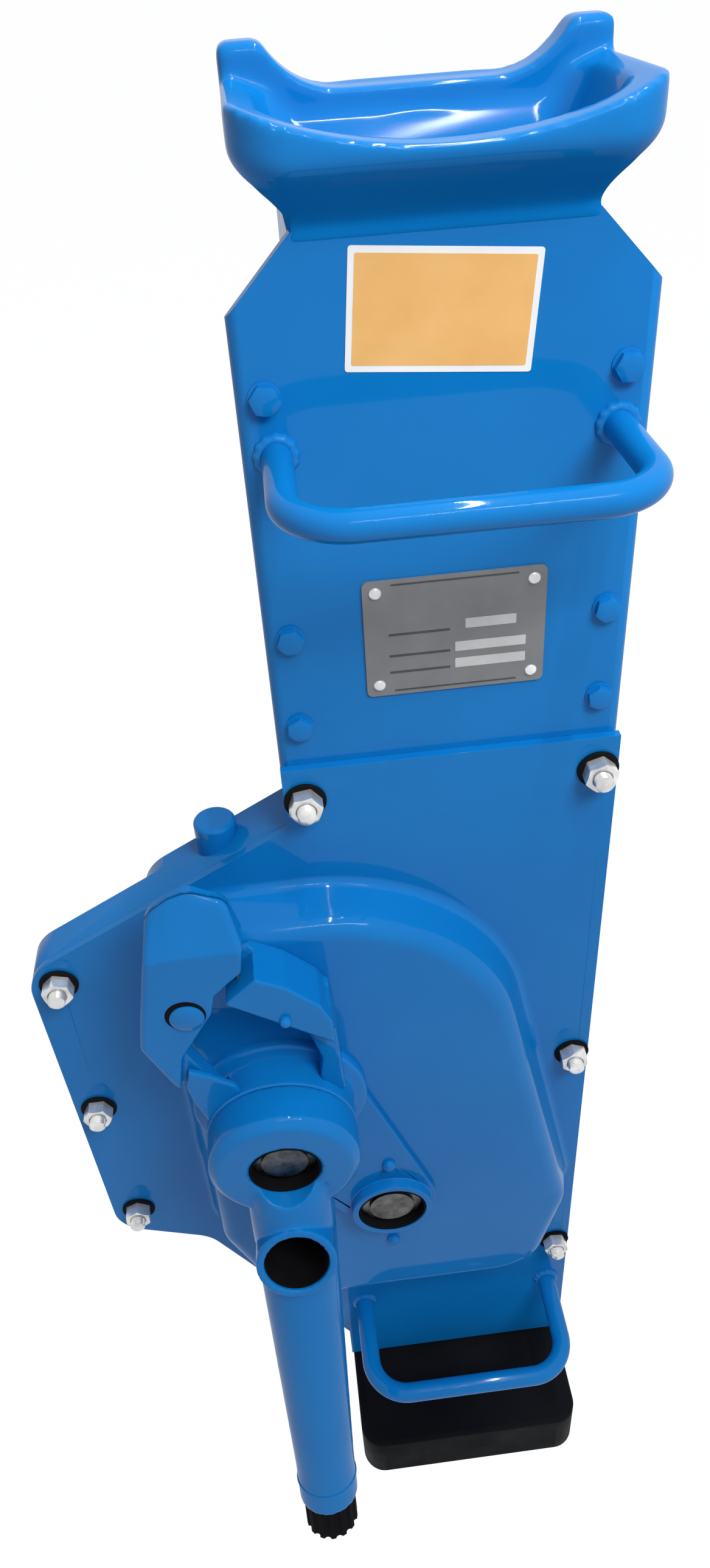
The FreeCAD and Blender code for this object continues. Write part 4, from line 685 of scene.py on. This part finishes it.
RING_BACK = 13.0
RING_SINK = 1.0
ARM_END_ZONE = 3.0
tip_centre = sum(end_spots, Vector()) / len(end_spots)
arm_spots = [vertex.co / MM for vertex in nodes["crank_arm"].data.vertices]
arm_end = max(spot.dot(arm_line) for spot in arm_spots)
end_rim = [spot for spot in arm_spots if spot.dot(arm_line) > arm_end - ARM_END_ZONE]
arm_radius = max((spot - tip_centre).cross(arm_line).length for spot in end_rim)
ring_along = arm_end - RING_BACK
ring_centre = tip_centre + arm_line * (ring_along - tip_centre.dot(arm_line))
seam_ring = bmesh.new()
turn_profile(seam_ring, 0, 0, 0, [
    (arm_radius - RING_SINK, -0.9),
    (arm_radius + 0.3, -0.6),
    (arm_radius + 0.5, 0),
    (arm_radius + 0.3, 0.6),
    (arm_radius - RING_SINK, 0.9),
], segments=64, closed=True)
to_arm = Vector((0, -1, 0)).rotation_difference(arm_line).to_matrix()
bmesh.ops.rotate(seam_ring, verts=seam_ring.verts, cent=(0, 0, 0), matrix=to_arm)
bmesh.ops.translate(seam_ring, verts=seam_ring.verts, vec=ring_centre)
add_piece("arm_ring", seam_ring, "crank", blue, "blue_paint")

# Eased edges

EASED = {
    "front_cover": 0.8,
    "gear_case": 1.2,
    "housing_shell": 0.8,
    "bearing_plate": 0.8,
    "foot_plate": 0.6,
    "case_plug": 0.8,
    "pinion_shield": 0.8,
}
for node_name, width in EASED.items():
    ease_edges(node_name, width)

# Cover nuts, studs with thread ends, and black washers that are partly painted shadow round each nut's base

TWIST = math.radians(17)
NUT_BORE_EDGE = 0.6
THREAD_PITCH = 1.25
THREAD_DEPTH = 0.55
STUD_END = 1.2
WASHER_SHADOW_GROWTH = 0.6
WASHER_PLAY = 0.2
WASHER_EDGE = 0.4
nuts = bmesh.new()
studs = bmesh.new()
washers = bmesh.new()
fasteners = zip(islands("cover_nuts"), islands("cover_studs"), islands("cover_washers"))
for index, (nut_box, stud_box, washer_box) in enumerate(fasteners):
    x = (stud_box[0].x + stud_box[1].x) / 2
    z = (stud_box[0].z + stud_box[1].z) / 2
    radius = (stud_box[1].x - stud_box[0].x) / 2
    flats = nut_box[1].z - nut_box[0].z
    height = nut_box[1].y - nut_box[0].y
    twist = TWIST * index
    turn_profile(nuts, x, -nut_box[1].y, z, [
        (radius, 0),
        (hexagon(flats, twist), 0),
        (hexagon(flats, twist), chamfer(flats, height, twist)),
        (CHAMFER_CIRCLE * flats, height),
        (radius + NUT_BORE_EDGE, height),
        (radius, height - NUT_BORE_EDGE),
    ], segments=72, closed=True)
    length = stud_box[1].y - stud_box[0].y
    bare = -nut_box[0].y + stud_box[1].y - 2 * THREAD_PITCH
    thread = [(radius, 0), (radius, bare)]
    ahead = bare
    while ahead + THREAD_PITCH < length:
        thread.append((radius - THREAD_DEPTH, ahead + THREAD_PITCH / 2))
        thread.append((radius, ahead + THREAD_PITCH))
        ahead += THREAD_PITCH
    thread.append((radius - STUD_END, length))
    turn_profile(studs, x, -stud_box[1].y, z, thread, segments=40)
    # Partly painted shadow: real washers, but black and grown past their size so they also stand for the shade
    # round each nut's base.
    rim = (washer_box[1].x - washer_box[0].x) / 2 + WASHER_SHADOW_GROWTH
    thick = washer_box[1].y - washer_box[0].y
    turn_profile(washers, x, -washer_box[1].y, z, [
        (radius + WASHER_PLAY, 0),
        (rim - 0.3, 0),
        (rim, WASHER_EDGE),
        (rim, thick - WASHER_EDGE),
        (rim - WASHER_EDGE, thick),
        (radius + WASHER_PLAY, thick),
    ], segments=56, closed=True)
add_piece("hexagon_nuts", nuts, "housing", zinc, "zinc", "cover_nuts")
add_piece("threaded_studs", studs, "housing", zinc, "zinc", "cover_studs")
add_piece("black_washers_and_painted_shadow", washers, "housing", black_rubber_and_shade, "dark_steel", "cover_washers")

# Painted bolts

BOLT_FLATS_SHARE = 0.86
BOLT_HEIGHT_SHARE = 0.8
BOLT_FLANGE = 0.62
BOLT_FACE = 0.46
BOLT_CROWN = 0.2
bolts = bmesh.new()
shell_front = -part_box("housing_shell")[0][1] / MM
for index, (low, high) in enumerate(islands("body_bolts")):
    x = (low.x + high.x) / 2
    z = (low.z + high.z) / 2
    flats = BOLT_FLATS_SHARE * (high.z - low.z)
    height = BOLT_HEIGHT_SHARE * (-low.y - shell_front)
    twist = TWIST * (index + 2)
    turn_profile(bolts, x, shell_front, z, [
        (BOLT_FLANGE * flats, 0),
        (BOLT_FLANGE * flats, 0.6),
        (hexagon(flats, twist), 0.7),
        (hexagon(flats, twist), chamfer(flats, height, twist)),
        (BOLT_FACE * flats, height),
        (BOLT_CROWN * flats, height + 0.3),
    ], segments=72)
add_piece("painted_bolts", bolts, "housing", blue, "blue_paint", "body_bolts")


# Rivets

RIVET_CROWN = 1.2


def domed(name, node_name, head_height, material, share=1.0):
    """Rivet heads as domes, where a node has flat ones, at a share of their radius."""
    bm = bmesh.new()
    for low, high in islands(node_name):
        radius = (high.x - low.x) / 2 * share
        dome = dome_profile(radius, head_height * RIVET_CROWN)
        turn_profile(bm, (low.x + high.x) / 2, -low.y - head_height, (low.z + high.z) / 2, dome, segments=40)
    add_piece(name, bm, "housing", material, SLOT_OF[node_name], node_name)


domed("bearing_rivet_domes", "bearing_rivets", 3.0, blue, share=0.8)
domed("guard_rivet_dome", "guard_rivet", 3.0, blue, share=0.6)
domed("plate_rivet_domes", "plate_rivets", 1.0, zinc)


# Weld beads at the feet of the handles

BEAD_RADIUS = 2.4
BEAD_STEPS = (0, 25, 50, 75, 100, 130)
BEAD_PLAY = 0.3
RIPPLES = 13
RIPPLE_DEPTH = 0.22


def ripple(rod, angle):
    """The rippled radius of a bead round a rod, at an angle of its section."""
    spread = BEAD_RADIUS * math.cos(angle)
    return lambda turn: rod + BEAD_PLAY + spread + RIPPLE_DEPTH * math.sin(RIPPLES * turn)


beads = bmesh.new()
for handle_name in ("upper_handle", "lower_handle"):
    low, high = in_mm(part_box(handle_name))
    rod = (high.z - low.z) / 2
    section = [math.radians(degrees) for degrees in BEAD_STEPS]
    profile = [(ripple(rod, angle), BEAD_RADIUS * math.sin(angle)) for angle in section]
    for x in (low.x + rod, high.x - rod):
        turn_profile(beads, x, -high.y, (low.z + high.z) / 2, profile, segments=78)
add_piece("weld_beads", beads, "housing", blue, "blue_paint")


# Sticker

CORNER_STEPS = 4


def slab(bm, centre, half_width, half_height, depth, rounding, turn=0.0):
    """A thin plate that faces the front, with rounded corners and its rear on the centre's plane."""
    x, out, z = centre
    outline = []
    for corner, (side, rise) in enumerate(((1, 1), (-1, 1), (-1, -1), (1, -1))):
        for step in range(CORNER_STEPS + 1):
            angle = math.pi / 2 * (corner + step / CORNER_STEPS)
            across = side * (half_width - rounding) + rounding * math.cos(angle)
            up = rise * (half_height - rounding) + rounding * math.sin(angle)
            outline.append((x + across * math.cos(turn) - up * math.sin(turn),
                            z + across * math.sin(turn) + up * math.cos(turn)))
    extrude(bm, outline, out, out + depth)


STICKER_X = -1.5
STICKER_Z = 725.0
STICKER_TURN = math.radians(-5.0)
FIELD_PROUD = 0.2
backing = bmesh.new()
slab(backing, (STICKER_X, shell_front, STICKER_Z),
     half_width=31.5, half_height=19.4, depth=0.25, rounding=1.0, turn=STICKER_TURN)
add_piece("sticker_backing", backing, "housing", white_film, "plate_metal")
field = bmesh.new()
slab(field, (STICKER_X, shell_front + FIELD_PROUD, STICKER_Z),
     half_width=29.4, half_height=17.3, depth=0.15, rounding=0.6, turn=STICKER_TURN)
add_piece("sticker_field", field, "housing", amber_film, "plate_metal")

# Lines and fields of the name plate

PRINT_DEPTH = 0.2
PRINT_SINK = 0.05
LINE_ROUNDING = 0.1
FRAME_LINE_IN = 2
FRAME_LINE_SHORT = 11
COLUMN = 14
LINE_RISES = (2.0, -7.5, -15.0)
FIELDS = ((4.0, 10), (-6.0, 14), (-13.5, 14))
plate_low, plate_high = in_mm(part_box("name_plate"))
plate_x = (plate_low.x + plate_high.x) / 2
plate_z = (plate_low.z + plate_high.z) / 2
plate_half = (plate_high.x - plate_low.x) / 2
plate_half_height = (plate_high.z - plate_low.z) / 2
plate_front = -plate_low.y - PRINT_SINK
lines = bmesh.new()
for side in (-1, 1):
    line_z = plate_z + side * (plate_half_height - FRAME_LINE_IN)
    slab(lines, (plate_x, plate_front, line_z),
         half_width=plate_half - FRAME_LINE_SHORT, half_height=0.3, depth=PRINT_DEPTH, rounding=LINE_ROUNDING)
for rise in LINE_RISES:
    slab(lines, (plate_x - COLUMN, plate_front, plate_z + rise),
         half_width=12, half_height=0.45, depth=PRINT_DEPTH, rounding=LINE_ROUNDING)
add_piece("plate_lines", lines, "housing", plate_line, "plate_metal")
fields = bmesh.new()
for rise, half in FIELDS:
    slab(fields, (plate_x + COLUMN, plate_front, plate_z + rise),
         half_width=half, half_height=2.1, depth=PRINT_DEPTH, rounding=0.4)
add_piece("plate_fields", fields, "housing", plate_field, "plate_metal")


# Black tubes of painted shade in the hub recess, the bearing recess and the cross-hole

def shade_lining(name, body, x, out, z, outer, inner, depth, tilt=0.0):
    """A thin black tube in a round hole, as painted shade on its wall, its front rim at out, turned upwards by a
    tilt.
    """
    bm = bmesh.new()
    turn_profile(bm, 0, 0, 0, [
        (outer, -depth),
        (outer, -0.5),
        (outer - 0.4, 0),
        (inner + 0.3, 0),
        (inner, -0.5),
        (inner, -depth),
    ], segments=64, closed=True)
    bmesh.ops.rotate(bm, verts=bm.verts, cent=(0, 0, 0), matrix=Matrix.Rotation(-tilt, 3, "X"))
    bmesh.ops.translate(bm, verts=bm.verts, vec=(x, -out, z))
    add_piece(name, bm, body, black_rubber_and_shade, "black_paint")


EYE_THICK = 22.3
HUB_SINK = 0.6
BEARING_SINK = 0.3
HOLE_SINK = 1.5
hub_out = EYE_THICK - sleeve_low.y - HUB_SINK
shade_lining("hub_shade_lining", "crank", crank_x, hub_out, crank_z, outer=16.9, inner=15.9, depth=8.2)
bearing_x, bearing_z = axis_of("drive_spin")
bearing_out = -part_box("bearing_plate")[0][1] / MM - BEARING_SINK
shade_lining("bearing_shade_lining", "housing", bearing_x, bearing_out, bearing_z, outer=18.4, inner=17.4, depth=6.6)
arm_hole = next(mount for mount in frame["record"]["mounts"] if mount["name"] == "arm_hole")
hole_length = arm_hole["dims"]["length_mm"]
hole_rim = Vector(arm_hole["pos_m"]) / MM + Vector(arm_hole["axis"]) * (hole_length / 2 - HOLE_SINK)
shade_lining("hole_shade_lining", "crank", hole_rim.x, -hole_rim.y, hole_rim.z, outer=15.4, inner=14.7,
       depth=hole_length - 2 * HOLE_SINK, tilt=math.asin(arm_hole["axis"][2]))

# Camera

LONG_SIDE = 2576
FOCAL_PIXELS = 1850
SENSOR = 36.0
CAMERA_PLACE = (-63.4, -429.9, 830.2)
yaw = math.radians(3.37)
pitch = math.radians(37.92)
roll = math.radians(-4.21)
forward = Vector((math.sin(yaw) * math.cos(pitch), math.cos(yaw) * math.cos(pitch), -math.sin(pitch)))
level = Vector((math.cos(yaw), -math.sin(yaw), 0))
upward = level.cross(forward)
camera_right = math.cos(roll) * level + math.sin(roll) * upward
camera_up = -math.sin(roll) * level + math.cos(roll) * upward
camera_data = bpy.data.cameras.new("camera")
camera_data.sensor_width = SENSOR
camera_data.lens = SENSOR * FOCAL_PIXELS / LONG_SIDE
camera_data.clip_start = 0.01
camera_data.clip_end = 200
camera = bpy.data.objects.new("camera", camera_data)
camera.matrix_world = Matrix((
    (camera_right.x, camera_up.x, -forward.x, CAMERA_PLACE[0] * MM),
    (camera_right.y, camera_up.y, -forward.y, CAMERA_PLACE[1] * MM),
    (camera_right.z, camera_up.z, -forward.z, CAMERA_PLACE[2] * MM),
    (0, 0, 0, 1),
))
scene.collection.objects.link(camera)
scene.camera = camera

# Floor, background and lights

WHITE = (1, 1, 1, 1)
SKY_TINT = (0.82, 0.88, 1, 1)
BACKDROP_RAYS = ("Is Glossy Ray", "Is Transmission Ray", "Is Camera Ray")
FLOOR_HALF = 60.0
FLOOR_DROP = 0.2 * MM
FLOOR_GLOW = 1.12
FLOOR_GLOW_SHARE = 0.86


def stage_floor():
    """A pale floor that looks nearly white to the camera, mirrors and glass, and keeps the shadow."""
    mesh = bpy.data.meshes.new("floor")
    signs = ((-1, -1), (1, -1), (1, 1), (-1, 1))
    corners = [(across * FLOOR_HALF, along * FLOOR_HALF, 0) for across, along in signs]
    mesh.from_pydata(corners, [], [(0, 1, 2, 3)])
    floor = bpy.data.objects.new("floor", mesh)
    floor.location.z = -FLOOR_DROP
    scene.collection.objects.link(floor)
    recipe = Recipe("pale_floor")
    tone = recipe.ramp(recipe.noise(scale=2.0, detail=2.0), (0.0, grey(0.86)), (1.0, grey(0.9)))
    recipe.link(tone, recipe.shader.inputs["Base Color"])
    recipe.set(Roughness=0.9, Specular_IOR_Level=0.0)
    light_path = recipe.node("ShaderNodeLightPath")
    glow = recipe.node("ShaderNodeEmission", Color=WHITE, Strength=FLOOR_GLOW)
    surface = recipe.shader.outputs["BSDF"]
    for ray in BACKDROP_RAYS:
        share = recipe.node("ShaderNodeMapRange", To_Max=FLOOR_GLOW_SHARE)
        recipe.link(light_path.outputs[ray], share.inputs["Value"])
        mix = recipe.node("ShaderNodeMixShader")
        recipe.link(share.outputs["Result"], mix.inputs["Fac"])
        recipe.link(surface, mix.inputs[1])
        recipe.link(glow.outputs["Emission"], mix.inputs[2])
        surface = mix.outputs["Shader"]
    recipe.link(surface, recipe.tree.nodes["Material Output"].inputs["Surface"])
    mesh.materials.append(recipe.material)


def stage_world(strength):
    """A white backdrop for the camera, mirrors and glass, with its own strength as a light."""
    world = bpy.data.worlds.new("studio")
    scene.world = world
    world.use_nodes = True
    tree = world.node_tree
    light = tree.nodes["Background"]
    light.inputs["Strength"].default_value = strength
    light.inputs["Color"].default_value = SKY_TINT
    backdrop = tree.nodes.new("ShaderNodeBackground")
    backdrop.inputs["Strength"].default_value = 1.0
    backdrop.inputs["Color"].default_value = WHITE
    light_path = tree.nodes.new("ShaderNodeLightPath")
    surface = light.outputs["Background"]
    for ray in BACKDROP_RAYS:
        mix = tree.nodes.new("ShaderNodeMixShader")
        tree.links.new(light_path.outputs[ray], mix.inputs["Fac"])
        tree.links.new(surface, mix.inputs[1])
        tree.links.new(backdrop.outputs["Background"], mix.inputs[2])
        surface = mix.outputs["Shader"]
    tree.links.new(surface, tree.nodes["World Output"].inputs["Surface"])


def soft_light(name, power, size, place, aim, mirrored=True):
    """A soft box, which gloss can mirror or not; its size, place and aim are in metres."""
    data = bpy.data.lights.new(name, "AREA")
    data.shape = "RECTANGLE"
    data.size, data.size_y = size
    data.energy = power
    light = bpy.data.objects.new(name, data)
    light.location = place
    light.rotation_mode = "QUATERNION"
    light.rotation_quaternion = (Vector(aim) - Vector(place)).to_track_quat("-Z", "Y")
    light.visible_glossy = mirrored
    scene.collection.objects.link(light)


stage_floor()
stage_world(strength=0.26)
soft_light("key", 6.7, (0.4, 0.4), place=(0.36, -0.62, 1.3), aim=(-0.02, -0.05, 0.48), mirrored=False)
soft_light("top", 5.8, (0.9, 0.012), place=(0.16, -0.05, 1.6), aim=(-0.03, -0.05, 0.5))
soft_light("strip", 3.8, (0.8, 0.011), place=(0.24, -0.85, 1.55), aim=(-0.02, -0.05, 0.6))
soft_light("side", 1.0, (0.4, 0.9), place=(-1.3, -0.8, 0.9), aim=(-0.1, -0.05, 0.4), mirrored=False)

scene.view_settings.view_transform = "Standard"
